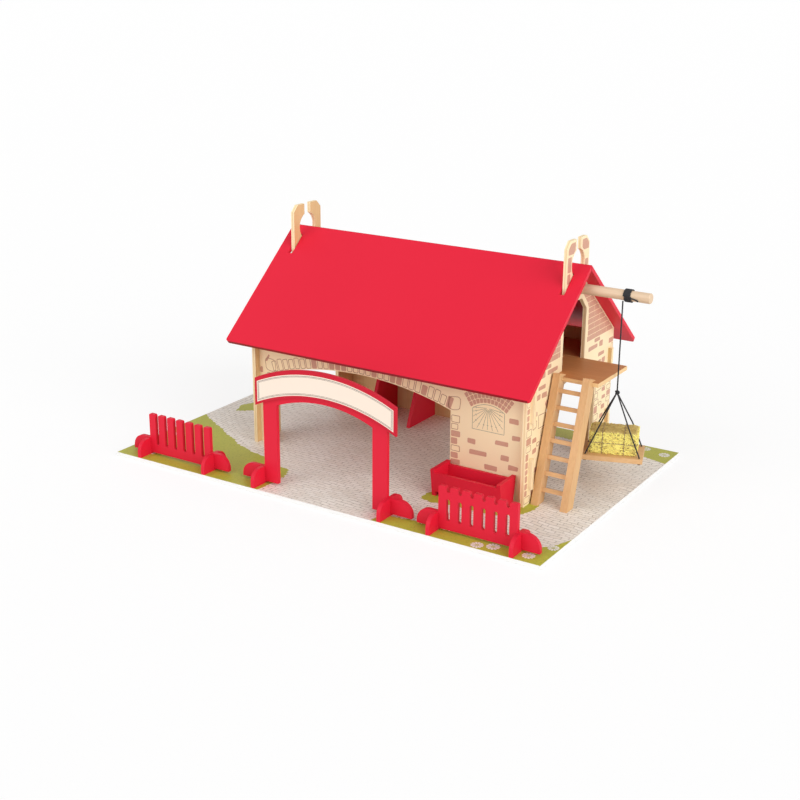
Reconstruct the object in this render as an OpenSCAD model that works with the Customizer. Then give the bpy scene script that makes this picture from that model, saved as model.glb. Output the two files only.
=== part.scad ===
// Wooden toy barn on a base board. The two roof panels swing up on the horned gable ends,
// and a dowel hoist winds a tray up beside the loft. A gate, two fences and a trough stand in front.
// Millimetres, +X to the right, +Y to the back, +Z up. The origin is the centre of the base's underside.

/* [Base board] */
// Length of the base board
base_length = 610; // [590:1:700]
// Depth of the base board
base_depth = 400; // [380:1:480]
// Thickness of the base board
base_t = 5; // [3:0.5:9]

/* [Barn] */
// Thickness of the boards of the barn, the gate, the fences and the trough
board_t = 5; // [4:0.5:6]
// Place of the barn's middle along the base
barn_x = 18.5; // [10:0.5:25]
// Clear strip of the base behind the barn
barn_margin = 34.5; // [20:0.5:50]
// Length of the barn over its gables
barn_length = 399; // [380:1:410]
// Width of a gable
gable_width = 237; // [225:1:250]
// Height of the ridge axis above the base
ridge_height = 270; // [255:1:290]
// Slope of the roof in degrees
roof_pitch = 40; // [37:0.5:43]
// Height of the front and back walls
wall_height = 160; // [150:1:162]
// Step from a gable's edge in to a wall's face
wall_inset = 9; // [6:0.5:14]

/* [Roof] */
// Overhang of the roof past each gable
roof_overhang = 17.5; // [10:0.5:25]
// Length of a roof panel down its slope
roof_slope = 196; // [180:1:210]
// Radius of the corners at the eaves
roof_corner_r = 4; // [1:0.5:10]
// Width of the strip between a panel's top edge and its slots, which turns in the keyholes
hinge_strip = 16; // [14:0.5:18]
// Length of a slot down the slope
slot_length = 32; // [30:0.5:40]
// Play of a gable in a slot, each side
slot_play = 0.8; // [0.4:0.1:1.5]
// Gap between the roof and what it rests on
seat_gap = 0.3; // [0.2:0.05:0.5]

/* [Horned gables] */
// Width over the two horns of a gable
horn_width = 59; // [56:0.5:62]
// Height of the horns above the ridge axis
horn_rise = 30; // [27:0.5:34]
// Chamfer on the outside of a horn's tip
horn_chamfer = 8.5; // [4:0.5:11]
// Play of the turning strips in a keyhole
keyhole_play = 0.75; // [0.4:0.05:1.5]
// Play of an upright panel in the slit between the horns, each side
slit_play = 4; // [1:0.25:5]

/* [Doorways] */
// Width of the doorway in a gable
doorway_width = 136; // [120:1:150]
// Height where a gable doorway's arch starts
doorway_spring = 107; // [98:1:112]
// Width of the opening in the front wall
front_opening_width = 265; // [240:1:275]
// Place of the front opening from the barn's middle
front_opening_x = -39; // [-42:0.5:-30]
// Width of the opening in the back wall
back_opening_width = 190; // [150:1:200]
// Place of the back opening from the barn's middle
back_opening_x = 71.5; // [60:0.5:80]
// Height where the arches of both walls start
wall_spring = 98; // [90:1:104]
// Rise of every arch over its start
arch_rise = 21; // [15:0.5:24]

/* [Wall tabs] */
// Height of the lower tab's underside above the base
tab_low = 20; // [15:1:26]
// Step from the lower to the upper tab
tab_pitch = 82; // [76:1:86]
// Height of a tab
tab_height = 38; // [30:1:42]
// How far a tab stands out of the gable
tab_proud = 5; // [1:0.5:8]
// Play of a tab in its slot, each side
tab_play = 0.15; // [0.05:0.05:0.4]

/* [Loft] */
// Height of the loft floor's top above the base
loft_height = 145; // [140:1:149]
// Length of the loft floor in from the right gable
loft_length = 188; // [170:1:200]
// Thickness of the loft boards
loft_t = 5; // [4:0.5:7]
// Width of a loft opening
loft_door_width = 62; // [56:1:68]
// Height of a loft opening over the loft floor
loft_door_height = 79; // [70:1:81]
// Chamfer in the upper corners of a loft opening
loft_door_chamfer = 15; // [8:0.5:20]
// Reach of the platform out from the gable
platform_reach = 57; // [52:0.5:58]
// Extent of the platform in front of the ridge
platform_front = 52; // [45:0.5:60]
// Extent of the platform behind the ridge
platform_back = 31; // [31:0.5:45]
// Depth of the platform's tongue inside the gable
tongue_length = 20; // [10:1:30]
// Width of the battens under the loft floor
ledge_w = 8; // [5:0.5:12]
// Height of the battens under the loft floor
ledge_h = 10; // [6:0.5:14]
// Gap round the loft floor
loft_gap = 0.3; // [0.1:0.05:0.6]

/* [Stalls] */
// Clear width of the first stall beside the left gable
stall_width = 72; // [60:1:80]
// Step from one stall divider to the next
stall_pitch = 62; // [50:1:70]
// Height of a stall divider
divider_height = 90; // [70:1:110]
// Depth of a stall divider at its foot
divider_foot = 67.5; // [50:0.5:80]
// Depth of a stall divider at its top
divider_top = 31.5; // [20:0.5:45]
// Radius of the divider's upper front corner
divider_r = 8; // [2:0.5:14]

/* [Ladder] */
// Gap between the gable and the ladder
ladder_gap = 2.5; // [1:0.5:6]
// Width over the ladder's stiles
ladder_width = 47; // [40:0.5:50]
// Width of a stile
stile_w = 9; // [6:0.5:11]
// Depth of a stile
stile_d = 16; // [13:0.5:20]
// Lean of the ladder in degrees
ladder_lean = 17; // [13:0.5:20]
// How far the stiles hook over the platform's edge
hook_depth = 7; // [5:0.5:8]
// Height of a stile's front edge above the platform
stile_rise = 6; // [5:0.5:10]
// Number of rungs
rung_count = 7; // [4:1:7]
// Height of a rung
rung_h = 5; // [3:0.5:7]
// Depth of a rung
rung_d = 6; // [4:0.5:9]
// Distance of the first rung's middle up the stile
rung_foot_length = 20; // [15:0.5:22]
// Step from rung to rung up the stile
rung_pitch = 19.7; // [17:0.1:20.2]
// Play of the hooks on the platform
hook_play = 0.15; // [0.05:0.05:0.3]

/* [Hoist] */
// Radius of the dowel
beam_r = 6.2; // [5:0.1:8]
// Running clearance of the dowel in the gables
beam_fit = 0.05; // [0.02:0.01:0.1]
// Depth of the dowel's axis below the ridge axis
beam_drop = 29.7; // [27:0.1:31]
// Reach of the dowel past the left gable
beam_left_reach = 10; // [4:1:16]
// Reach of the dowel past the right gable
beam_reach = 94; // [85:1:110]
// Chamfer on the dowel's ends
beam_chamfer = 0.8; // [0.3:0.1:1.5]
// Distance of the hanging cord from the right gable
cord_reach = 62; // [61:0.5:70]
// Thickness of the cord
cord_d = 1.8; // [1.2:0.1:2.4]
// Number of cord turns on the dowel
winding_turns = 6; // [3:1:9]
// Length of the loose cord end beside the winding
tail_length = 9; // [4:0.5:14]
// Height of the slings' knot above the base
knot_height = 123; // [120:1:130]
// Radius of the slings' knot
knot_r = 3; // [2.2:0.1:3.6]
// Gap between the cord and what turns beside it
cord_gap = 0.3; // [0.2:0.05:0.6]
// Width of the slings' end knots in cord thicknesses
end_knot = 1.5; // [1.3:0.1:2]

/* [Hoist tray] */
// Length of the tray
tray_length = 72; // [68:0.5:74]
// Width of the tray
tray_width = 50; // [46:0.5:52]
// Thickness of the tray
tray_t = 6; // [4:0.5:8]
// Height of the tray's top above the base
tray_height = 50; // [49:0.5:55]
// Turn of the tray about the cord in degrees
tray_turn = 19; // [0:1:30]
// Step of the sling holes in from the tray's edges
sling_inset = 4; // [3.5:0.1:5]
// Play of a sling in its hole, each side
sling_play = 0.2; // [0.1:0.05:0.4]
// Length of the bale
bale_length = 58; // [50:0.5:60]
// Width of the bale
bale_width = 36; // [30:0.5:37]
// Height of the bale
bale_height = 29; // [24:0.5:32]
// Radius of the bale's upright edges
bale_r = 2; // [0.5:0.5:4]

/* [Gate] */
// Step from the base's front edge to the middle of the gate's boards
gate_inset = 25; // [24:0.5:30]
// Place of the gate's middle along the base
gate_x = 7.5; // [2:0.5:14]
// Clear width between the gate's posts
gate_clear = 137; // [120:1:150]
// Width of a gate post
post_w = 20; // [17:0.5:24]
// Height of the gate's arch at its ends
gate_spring = 103.5; // [95:0.5:112]
// Rise of the gate's arches
gate_rise = 14; // [10:0.5:18]
// Depth of the beam over the gate at its ends
gate_beam = 27; // [20:0.5:30]
// Step from the gate's middle to the sign board's middle
sign_shift = 2.5; // [0:0.5:5]
// Length of the sign board
sign_length = 200; // [190:1:220]
// Height of the sign board at its ends
sign_h = 34.5; // [30:0.5:40]
// Thickness of the sign board
sign_t = 3.5; // [2:0.5:5]
// Rise of the sign board's upper arc
sign_rise = 23; // [18:0.5:28]
// Step of the sign's lower ends under the gate's beam
sign_drop = 3.5; // [1:0.5:6]
// Length of the rounded ears beside the gate's posts
gate_ear_length = 34; // [26:0.5:36]
// Height of the gate's ears
gate_ear_h = 19; // [17:0.5:24]
// Length of the gate's cross feet
gate_foot_length = 49; // [40:0.5:49.5]

/* [Fences] */
// Step from the base's front edge to the middle of the fences' boards
row_inset = 22; // [21.5:0.5:28]
// Place of the left fence's middle along the base
fence_left_x = -214; // [-220:0.5:-208]
// Place of the right fence's middle along the base
fence_right_x = 216.5; // [212:0.5:222]
// Number of pickets of a fence
picket_count = 7; // [5:1:8]
// Width of a picket
picket_w = 10; // [8:0.5:11]
// Width of the gap between pickets
picket_gap = 5; // [4:0.5:6]
// Height of the fences' top above the base
fence_top = 55; // [45:1:65]
// Height of the fences' and gate's lower edge above the base
fence_clear = 3; // [1:0.5:5]
// Height where the gaps between the pickets start
picket_foot = 14; // [10:0.5:18]
// Height of the right fence's rail above its gaps
rail_h = 8; // [5:0.5:12]
// Radius of the pickets' top corners
picket_r = 2; // [0.5:0.25:3]
// Depth of the notches in the right fence's top
notch_depth = 7; // [4:0.5:10]
// Length of the fences' ears
fence_ear_length = 28; // [22:0.5:30]
// Height of the fences' ears
fence_ear_h = 20; // [17:0.5:24]
// Radius of the ears' outer corners
ear_r = 16; // [10:0.5:16.5]
// Length of the fences' cross feet
fence_foot_length = 43; // [34:0.5:43]
// Height of all cross feet
foot_h = 22; // [18:0.5:26]
// Radius of the cross feet's upper corners
foot_r = 14; // [8:0.5:16]
// Play in the half laps of the cross feet, each side
lap_play = 0.1; // [0.05:0.05:0.2]

/* [Trough] */
// Step from the right gable's inner face in to the trough's end
trough_inset = 10; // [2:1:30]
// Step from the front wall out to the trough's middle
trough_out = 21; // [20:0.5:35]
// Length of the trough
trough_length = 94; // [80:1:110]
// Width of the trough at its top
trough_top_w = 39; // [34:0.5:46]
// Width of the trough at its foot
trough_foot_w = 29; // [24:0.5:32]
// Height of the trough's ends
trough_h = 35; // [28:0.5:45]
// Height of the trough's floor board above the base
trough_floor_z = 6; // [2:0.5:10]
// Step of the trough's sides under the top of its ends
trough_step = 4; // [1:0.5:8]
// Thickness of the trough's sides and floor
trough_side_t = 4; // [3:0.5:5]

/* [Hidden] */
$fn = 96;
cut = 1; // how far a cutter runs past the face that it opens
cord_sides = 8; // corners round a sling

cream = [0.95, 0.88, 0.73];
red = [0.90, 0.16, 0.25];
pale_wood = [0.86, 0.72, 0.52];
warm_wood = [0.85, 0.62, 0.38];
brown = [0.68, 0.40, 0.23];

// Ridge axis, and the faces of gables and walls
barn_y = base_depth / 2 - barn_margin - gable_width / 2;
ridge_z = base_t + ridge_height;
gable_left_out = barn_x - barn_length / 2;
gable_right_out = barn_x + barn_length / 2;
inside_left = gable_left_out + board_t;
inside_right = gable_right_out - board_t;
wall_face = gable_width / 2 - wall_inset;
wall_front_y = barn_y - wall_face;
wall_back_y = barn_y + wall_face - board_t;

// Keyhole hinge: the strips' corners turn inside the keyhole
strip_corner_r = sqrt(pow(hinge_strip, 2) + pow(board_t, 2));
keyhole_r = strip_corner_r + keyhole_play;
slit_w = board_t + 2 * slit_play;
// Height that the roof's underside and its seat gap take off the slope, measured upright
roof_take = (board_t + seat_gap) / cos(roof_pitch);

// Ladder, tied to the platform's front edge
platform_edge_y = barn_y - platform_front;
ladder_left = gable_right_out + ladder_gap;
ladder_run = tan(ladder_lean);
stile_rear_foot = platform_edge_y + hook_depth - (loft_height - loft_t / 2) * ladder_run;
stile_front_foot = stile_rear_foot - stile_d / cos(ladder_lean);
stile_top = loft_height + stile_rise;

// Hoist
beam_z = ridge_height - beam_drop;
hang_x = gable_right_out + cord_reach;
hang_y = barn_y - beam_r - cord_d / 2;
winding_r = beam_r + cord_d;
winding_w = winding_turns * cord_d;
// The cord leaves the winding under its round side
drop_top = beam_z - sqrt(pow(winding_r, 2) - pow(beam_r, 2)) - cord_gap;
drop_foot = knot_height + knot_r + cord_gap;
sling_x = tray_length / 2 - sling_inset;
sling_y = tray_width / 2 - sling_inset;
// The slings bend over the bale's long upper edges, on the straight way round them
bend_z = tray_height + bale_height + cord_d / 2 + 2 * cord_gap;
bend_y = bale_width / 2 + cord_d / 2 + cord_gap;
bend_x = sling_x / (1 + norm([sling_y - bend_y, bend_z - tray_height]) / norm([bend_y, knot_height - bend_z]));

// The trough stands in front of the front wall, beside the right gable
trough_x = inside_right - trough_inset - trough_length / 2;
trough_y = wall_front_y - trough_out;

gate_y = -base_depth / 2 + gate_inset;
row_y = -base_depth / 2 + row_inset;
fence_width = picket_count * picket_w + (picket_count - 1) * picket_gap;
gate_outer = gate_clear / 2 + post_w;

// Profile placed upright along X: profile x runs along X, profile y up, from y0 backwards
module along_x(y0, thick) {
    translate([0, y0 + thick, base_t]) rotate([90, 0, 0]) linear_extrude(thick) children();
}

// Profile placed upright along Y: profile x runs along Y, profile y up, from x0 to the right
module along_y(x0, thick) {
    translate([x0, 0, base_t]) rotate([90, 0, 90]) linear_extrude(thick) children();
}

// Opening with upright sides and an arc on top, from below the floor line
module arched_opening(width, spring, rise) {
    arc_r = (pow(width / 2, 2) + pow(rise, 2)) / (2 * rise);
    translate([-width / 2, -cut]) square([width, spring + cut]);
    intersection() {
        translate([0, spring + rise - arc_r]) circle(arc_r, $fn = 180);
        translate([-width / 2, spring - cut]) square([width, rise + 2 * cut]);
    }
}

// Ear with a round outer corner
module ear(length, height) {
    square([length - ear_r, height]);
    square([length, height - ear_r]);
    intersection() {
        translate([length - ear_r, height - ear_r]) circle(ear_r);
        square([length, height]);
    }
}

// Slots for one wall's two tabs in a gable
module tab_slots(wall_y) {
    for (step = [0, tab_pitch])
        translate([wall_y - tab_play, tab_low + step - tab_play])
            square([board_t + 2 * tab_play, tab_height + 2 * tab_play]);
}

// Loft opening with chamfered upper corners; its sill carries the loft boards
module loft_opening() {
    half = loft_door_width / 2;
    sill = loft_height - loft_t;
    head = loft_height + loft_door_height;
    polygon([[-half, sill], [half, sill], [half, head - loft_door_chamfer],
        [half - loft_door_chamfer, head], [loft_door_chamfer - half, head],
        [-half, head - loft_door_chamfer]]);
}

// Outline of a gable: legs, slopes under the roof, and two horns that pass through the roof
module gable_outline() {
    half = gable_width / 2;
    horn = horn_width / 2;
    shoulder_z = ridge_height - half * tan(roof_pitch) - roof_take;
    horn_foot_z = ridge_height - horn * tan(roof_pitch) - roof_take;
    tip_z = ridge_height + horn_rise;
    polygon([[-half, 0], [half, 0], [half, shoulder_z], [horn, horn_foot_z],
        [horn, tip_z - horn_chamfer], [horn - horn_chamfer, tip_z],
        [horn_chamfer - horn, tip_z], [-horn, tip_z - horn_chamfer],
        [-horn, horn_foot_z], [-half, shoulder_z]]);
}

module gable_profile() {
    difference() {
        translate([barn_y, 0]) gable_outline();
        translate([barn_y, 0]) {
            arched_opening(doorway_width, doorway_spring, arch_rise);
            loft_opening();
            translate([0, beam_z]) circle(beam_r + beam_fit);
            translate([0, ridge_height]) circle(keyhole_r);
            translate([-slit_w / 2, ridge_height]) square([slit_w, horn_rise + cut]);
        }
        tab_slots(wall_front_y);
        tab_slots(wall_back_y);
    }
}

// Long wall between the gables, with two tabs at each end and one arched opening
module wall_profile(opening_width, opening_x) {
    difference() {
        union() {
            translate([inside_left, 0]) square([inside_right - inside_left, wall_height]);
            for (step = [0, tab_pitch])
                translate([gable_left_out - tab_proud, tab_low + step])
                    square([barn_length + 2 * tab_proud, tab_height]);
        }
        translate([barn_x + opening_x, 0]) arched_opening(opening_width, wall_spring, arch_rise);
    }
}

// Roof panel as seen square on: x along the ridge, y down the slope from the ridge axis
module roof_profile() {
    half = barn_length / 2 + roof_overhang;
    slot_w = board_t + 2 * slot_play;
    difference() {
        union() {
            translate([-half, 0]) square([2 * half, roof_slope - roof_corner_r]);
            translate([roof_corner_r - half, 0]) square([2 * (half - roof_corner_r), roof_slope]);
            for (side = [-1, 1])
                translate([side * (half - roof_corner_r), roof_slope - roof_corner_r])
                    circle(roof_corner_r);
        }
        for (side = [-1, 1])
            translate([side * (barn_length - board_t) / 2 - slot_w / 2, hinge_strip])
                square([slot_w, slot_length]);
    }
}

// Roof panel on its slope; side is 1 for the back and -1 for the front
module roof_panel(side) {
    translate([barn_x, barn_y, ridge_z]) mirror([0, (1 - side) / 2, 0]) difference() {
        rotate([-roof_pitch, 0, 0]) translate([0, 0, -board_t])
            linear_extrude(board_t) roof_profile();
        // Upright mitre, so that the two panels meet on the ridge
        translate([-barn_length, -2 * board_t, -4 * board_t])
            cube([2 * barn_length, 2 * board_t + seat_gap, 5 * board_t]);
    }
}

// Divider against the back wall, with a slanted front edge and a rounded corner
module stall_divider(index) {
    lean = atan((divider_foot - divider_top) / divider_height);
    // The round corner touches both the slanted edge and the top
    corner_y = wall_back_y - divider_top + divider_r * (1 - sin(lean)) / cos(lean);
    along_y(inside_left + stall_width + index * stall_pitch, board_t) {
        polygon([[wall_back_y, 0], [wall_back_y, divider_height], [corner_y, divider_height],
            [corner_y - divider_r * cos(lean), divider_height - divider_r * (1 - sin(lean))],
            [wall_back_y - divider_foot, 0]]);
        translate([corner_y, divider_height - divider_r]) circle(divider_r);
    }
}

module base_board() {
    color(cream) translate([-base_length / 2, -base_depth / 2, 0])
        cube([base_length, base_depth, base_t]);
}

module gable_left() {
    color(cream) along_y(gable_left_out, board_t) gable_profile();
}

module gable_right() {
    color(cream) along_y(inside_right, board_t) gable_profile();
}

module wall_front() {
    color(cream) along_x(wall_front_y, board_t) wall_profile(front_opening_width, front_opening_x);
}

module wall_back() {
    color(cream) along_x(wall_back_y, board_t) wall_profile(back_opening_width, back_opening_x);
}

module roof_front() {
    color(red) roof_panel(-1);
}

module roof_back() {
    color(red) roof_panel(1);
}

module stall_divider_left() {
    color(red) stall_divider(0);
}

module stall_divider_right() {
    color(red) stall_divider(1);
}

// Floor of the loft, notched for the platform's tongue
module loft_floor() {
    color(brown) difference() {
        translate([inside_right - loft_length, wall_front_y + board_t + loft_gap,
            base_t + loft_height - loft_t])
            cube([loft_length - loft_gap, wall_back_y - wall_front_y - board_t - 2 * loft_gap, loft_t]);
        translate([inside_right - tongue_length - loft_gap, barn_y - loft_door_width / 2 - loft_gap,
            base_t + loft_height - loft_t - cut])
            cube([tongue_length + loft_gap + cut, loft_door_width + 2 * loft_gap, loft_t + 2 * cut]);
    }
}

// Platform outside the gable, with a tongue through the loft opening
module loft_platform() {
    tongue_w = loft_door_width - 2 * loft_gap;
    color(brown) translate([0, 0, base_t + loft_height - loft_t]) linear_extrude(loft_t) {
        translate([gable_right_out, barn_y - platform_front])
            square([platform_reach, platform_front + platform_back]);
        translate([inside_right - tongue_length, barn_y - tongue_w / 2])
            square([tongue_length + board_t + cut, tongue_w]);
    }
}

// Batten under the loft floor's edge, against a wall
module loft_ledge(y0) {
    color(pale_wood) translate([inside_right - loft_length, y0, base_t + loft_height - loft_t - ledge_h])
        cube([loft_length, ledge_w, ledge_h]);
}

module loft_ledge_front() {
    loft_ledge(wall_front_y + board_t);
}

module loft_ledge_back() {
    loft_ledge(wall_back_y - ledge_w);
}

// Stile of the ladder, leaning against the platform and hooked over its edge
module ladder_stile(x0) {
    color(warm_wood) along_y(x0, stile_w) difference() {
        polygon([[stile_front_foot, 0], [stile_rear_foot, 0],
            [stile_front_foot + stile_top * ladder_run + stile_d * cos(ladder_lean),
                stile_top - stile_d * sin(ladder_lean)],
            [stile_front_foot + stile_top * ladder_run, stile_top]]);
        translate([platform_edge_y - hook_play, loft_height - loft_t - hook_play])
            square([stile_d, loft_t + 2 * hook_play]);
    }
}

module ladder_stile_left() {
    ladder_stile(ladder_left);
}

module ladder_stile_right() {
    ladder_stile(ladder_left + ladder_width - stile_w);
}

module ladder_rungs() {
    color(warm_wood) translate([ladder_left + stile_w, stile_front_foot, base_t])
        rotate([-ladder_lean, 0, 0])
            for (index = [0 : rung_count - 1])
                translate([0, (stile_d - rung_d) / 2, rung_foot_length + index * rung_pitch - rung_h / 2])
                    cube([ladder_width - 2 * stile_w, rung_d, rung_h]);
}

// Dowel through both gables
module hoist_beam() {
    beam_length = barn_length + beam_left_reach + beam_reach;
    color(pale_wood) translate([gable_left_out - beam_left_reach, barn_y, base_t + beam_z])
        rotate([0, 90, 0]) {
            translate([0, 0, beam_chamfer]) cylinder(h = beam_length - 2 * beam_chamfer, r = beam_r);
            cylinder(h = beam_chamfer, r1 = beam_r - beam_chamfer, r2 = beam_r);
            translate([0, 0, beam_length - beam_chamfer])
                cylinder(h = beam_chamfer, r1 = beam_r, r2 = beam_r - beam_chamfer);
        }
}

// Turns of cord round the dowel, with a short loose end laid along it
module hoist_winding() {
    color("black") translate([hang_x - cord_d / 2, barn_y, base_t + beam_z]) rotate([0, 90, 0]) {
        rotate_extrude() {
            translate([beam_r + beam_fit, 0]) square([cord_d / 2, winding_w]);
            for (turn = [0 : winding_turns - 1])
                translate([beam_r + cord_d / 2, (turn + 0.5) * cord_d]) circle(d = cord_d, $fn = 24);
        }
        translate([beam_r + cord_d / 2 + beam_fit, 0, winding_w - cord_d])
            cylinder(h = tail_length + cord_d, d = cord_d, $fn = 24);
    }
}

// Cord from the winding down to the knot
module hoist_cord_drop() {
    color("black") translate([hang_x, hang_y, base_t + drop_foot])
        cylinder(h = drop_top - drop_foot, d = cord_d, $fn = 24);
}

// Ring of points round a route point; across lies level and square to the route's plane
function cord_ring(middle, direction, across, radius) = [for (corner = [0 : cord_sides - 1])
    let (other = cross(direction / norm(direction), across), turn = 360 / cord_sides * corner)
    middle + radius * (cos(turn) * across + sin(turn) * other)];

// Direction of the route at one of its points
function route_way(route, index) =
    route[min(index + 1, len(route) - 1)] - route[max(index - 1, 0)];

// Cord swept along a route that keeps near one upright plane
module swept_cord(route, radii, across) {
    rings = len(route);
    points = [for (index = [0 : rings - 1])
        each cord_ring(route[index], route_way(route, index), across, radii[index])];
    sides = [for (index = [0 : rings - 2], corner = [0 : cord_sides - 1])
        let (ring = cord_sides * index, next = (corner + 1) % cord_sides)
        [ring + corner, ring + cord_sides + corner, ring + cord_sides + next, ring + next]];
    first_end = [for (corner = [0 : cord_sides - 1]) corner];
    last_end = [for (corner = [cord_sides - 1 : -1 : 0]) cord_sides * (rings - 1) + corner];
    polyhedron(points, concat([first_end], sides, [last_end]));
}

// Four slings from the knot, over the bale's corners and through the tray, knotted underneath
module hoist_slings() {
    tray_under = tray_height - tray_t;
    radii = [1, 1, 1, 1, end_knot, end_knot] * cord_d / 2;
    color("black") translate([hang_x, hang_y, base_t]) rotate([0, 0, tray_turn]) {
        translate([0, 0, knot_height]) sphere(knot_r, $fn = 16);
        for (x_side = [-1, 1], y_side = [-1, 1]) {
            hole = [x_side * sling_x, y_side * sling_y];
            swept_cord([[0, 0, knot_height],
                [x_side * bend_x, y_side * bend_y, bend_z],
                [hole.x, hole.y, tray_height + cord_gap],
                [hole.x, hole.y, tray_under - cord_gap / 2],
                [hole.x, hole.y, tray_under - cord_gap],
                [hole.x, hole.y, tray_under - cord_gap - cord_d]],
                radii, [-hole.y, hole.x, 0] / norm(hole));
        }
    }
}

module hoist_tray() {
    color(warm_wood) translate([hang_x, hang_y, base_t + tray_height - tray_t]) rotate([0, 0, tray_turn])
        difference() {
            translate([-tray_length / 2, -tray_width / 2, 0]) cube([tray_length, tray_width, tray_t]);
            for (x_side = [-1, 1], y_side = [-1, 1])
                translate([x_side * sling_x, y_side * sling_y, -cut])
                    cylinder(h = tray_t + 2 * cut, d = cord_d + 2 * sling_play, $fn = 24);
        }
}

module hay_bale() {
    color([0.88, 0.78, 0.36]) translate([hang_x, hang_y, base_t + tray_height]) rotate([0, 0, tray_turn])
        linear_extrude(bale_height) {
            square([bale_length - 2 * bale_r, bale_width], center = true);
            square([bale_length, bale_width - 2 * bale_r], center = true);
            for (x_side = [-1, 1], y_side = [-1, 1])
                translate([x_side * (bale_length / 2 - bale_r), y_side * (bale_width / 2 - bale_r)])
                    circle(bale_r, $fn = 32);
        }
}

// Segment of a ring sector: arc on top of a straight chord, between two half lengths
module arc_cap(length, rise) {
    arc_r = (pow(length / 2, 2) + pow(rise, 2)) / (2 * rise);
    intersection() {
        translate([0, rise - arc_r]) circle(arc_r, $fn = 180);
        translate([-length / 2, -cut]) square([length, rise + 2 * cut]);
    }
}

// Slots from below for the two cross feet, outside a panel's two edges
module lap_slots(half) {
    for (side = [-1, 1])
        translate([side * (half + board_t / 2) - board_t / 2 - lap_play, 0])
            square([board_t + 2 * lap_play, foot_h / 2 + lap_play]);
}

// Ears on both sides of a panel
module ears(half, length, height) {
    translate([half, fence_clear]) ear(length, height);
    translate([-half, fence_clear]) mirror([1, 0]) ear(length, height);
}

// Cross foot at x0 and y0, with round upper corners and a slot from above for the panel
module cross_foot(x0, y0, length) {
    along_y(x0, board_t) translate([y0, 0]) difference() {
        union() {
            translate([-length / 2, 0]) square([length, foot_h - foot_r]);
            translate([foot_r - length / 2, 0]) square([length - 2 * foot_r, foot_h]);
            intersection() {
                for (side = [-1, 1])
                    translate([side * (length / 2 - foot_r), foot_h - foot_r]) circle(foot_r);
                translate([-length / 2, 0]) square([length, foot_h]);
            }
        }
        translate([-board_t / 2 - lap_play, foot_h / 2])
            square([board_t + 2 * lap_play, foot_h / 2 + cut]);
    }
}

// Arched gate of two posts and a curved beam
module gate_frame() {
    color(red) along_x(gate_y - board_t / 2, board_t) translate([gate_x, 0]) difference() {
        union() {
            translate([-gate_outer, fence_clear])
                square([2 * gate_outer, gate_spring + gate_beam - fence_clear]);
            translate([0, gate_spring + gate_beam]) arc_cap(2 * gate_outer, gate_rise);
            ears(gate_outer, gate_ear_length, gate_ear_h);
        }
        arched_opening(gate_clear, gate_spring, gate_rise);
        lap_slots(gate_outer);
    }
}

// Curved sign board on the front of the gate's beam
module gate_sign() {
    sign_r = (pow(sign_length / 2, 2) + pow(sign_rise, 2)) / (2 * sign_rise);
    sign_low = gate_spring - sign_drop;
    color(red) along_x(gate_y - board_t / 2 - sign_t, sign_t) translate([gate_x + sign_shift, 0])
        difference() {
            union() {
                translate([-sign_length / 2, sign_low]) square([sign_length, sign_h]);
                translate([0, sign_low + sign_h]) arc_cap(sign_length, sign_rise);
            }
            translate([0, sign_low + sign_rise - sign_r]) circle(sign_r, $fn = 180);
        }
}

module gate_foot_left() {
    color(red) cross_foot(gate_x - gate_outer - board_t, gate_y, gate_foot_length);
}

module gate_foot_right() {
    color(red) cross_foot(gate_x + gate_outer, gate_y, gate_foot_length);
}

// Cutter that rounds an upper corner; side is 1 for a right one and -1 for a left one
module round_corner(side) {
    mirror([(1 - side) / 2, 0]) difference() {
        translate([-picket_r, -picket_r]) square(picket_r + cut);
        translate([-picket_r, -picket_r]) circle(picket_r, $fn = 32);
    }
}

// Gap between two pickets, with a round foot, and a round head where it has one
module picket_slot(foot, head, round_head) {
    end_r = picket_gap / 2;
    head_r = round_head ? end_r : 0;
    translate([0, foot + end_r]) square([picket_gap, head - head_r - foot - end_r]);
    translate([end_r, foot + end_r]) circle(end_r, $fn = 32);
    if (round_head) translate([end_r, head - end_r]) circle(end_r, $fn = 32);
}

// Fence panel with ears; the gaps between its pickets run up to gap_head
module fence_panel(x0, gap_head, notches) {
    step = picket_w + picket_gap;
    along_x(row_y - board_t / 2, board_t) translate([x0, 0]) difference() {
        union() {
            translate([-fence_width / 2, fence_clear]) square([fence_width, fence_top - fence_clear]);
            ears(fence_width / 2, fence_ear_length, fence_ear_h);
        }
        for (index = [0 : picket_count - 2])
            translate([picket_w + index * step - fence_width / 2, 0]) {
                picket_slot(picket_foot, gap_head, notches);
                if (notches) picket_slot(fence_top - notch_depth, fence_top + cut, false);
            }
        for (index = [0 : picket_count - 1], side = [-1, 1])
            translate([index * step + picket_w / 2 + side * picket_w / 2 - fence_width / 2, fence_top])
                round_corner(side);
        lap_slots(fence_width / 2);
    }
}

module fence_left() {
    color(red) fence_panel(fence_left_x, fence_top + cut, false);
}

module fence_left_foot_a() {
    color(red) cross_foot(fence_left_x - fence_width / 2 - board_t, row_y, fence_foot_length);
}

module fence_left_foot_b() {
    color(red) cross_foot(fence_left_x + fence_width / 2, row_y, fence_foot_length);
}

module fence_right() {
    color(red) fence_panel(fence_right_x, fence_top - notch_depth - rail_h, true);
}

module fence_right_foot_a() {
    color(red) cross_foot(fence_right_x - fence_width / 2 - board_t, row_y, fence_foot_length);
}

module fence_right_foot_b() {
    color(red) cross_foot(fence_right_x + fence_width / 2, row_y, fence_foot_length);
}

// End board of the trough, wider at the top
module trough_end(x0) {
    color(red) along_y(x0, board_t) translate([trough_y, 0])
        polygon([[-trough_foot_w / 2, 0], [trough_foot_w / 2, 0],
            [trough_top_w / 2, trough_h], [-trough_top_w / 2, trough_h]]);
}

module trough_end_left() {
    trough_end(trough_x - trough_length / 2);
}

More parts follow.
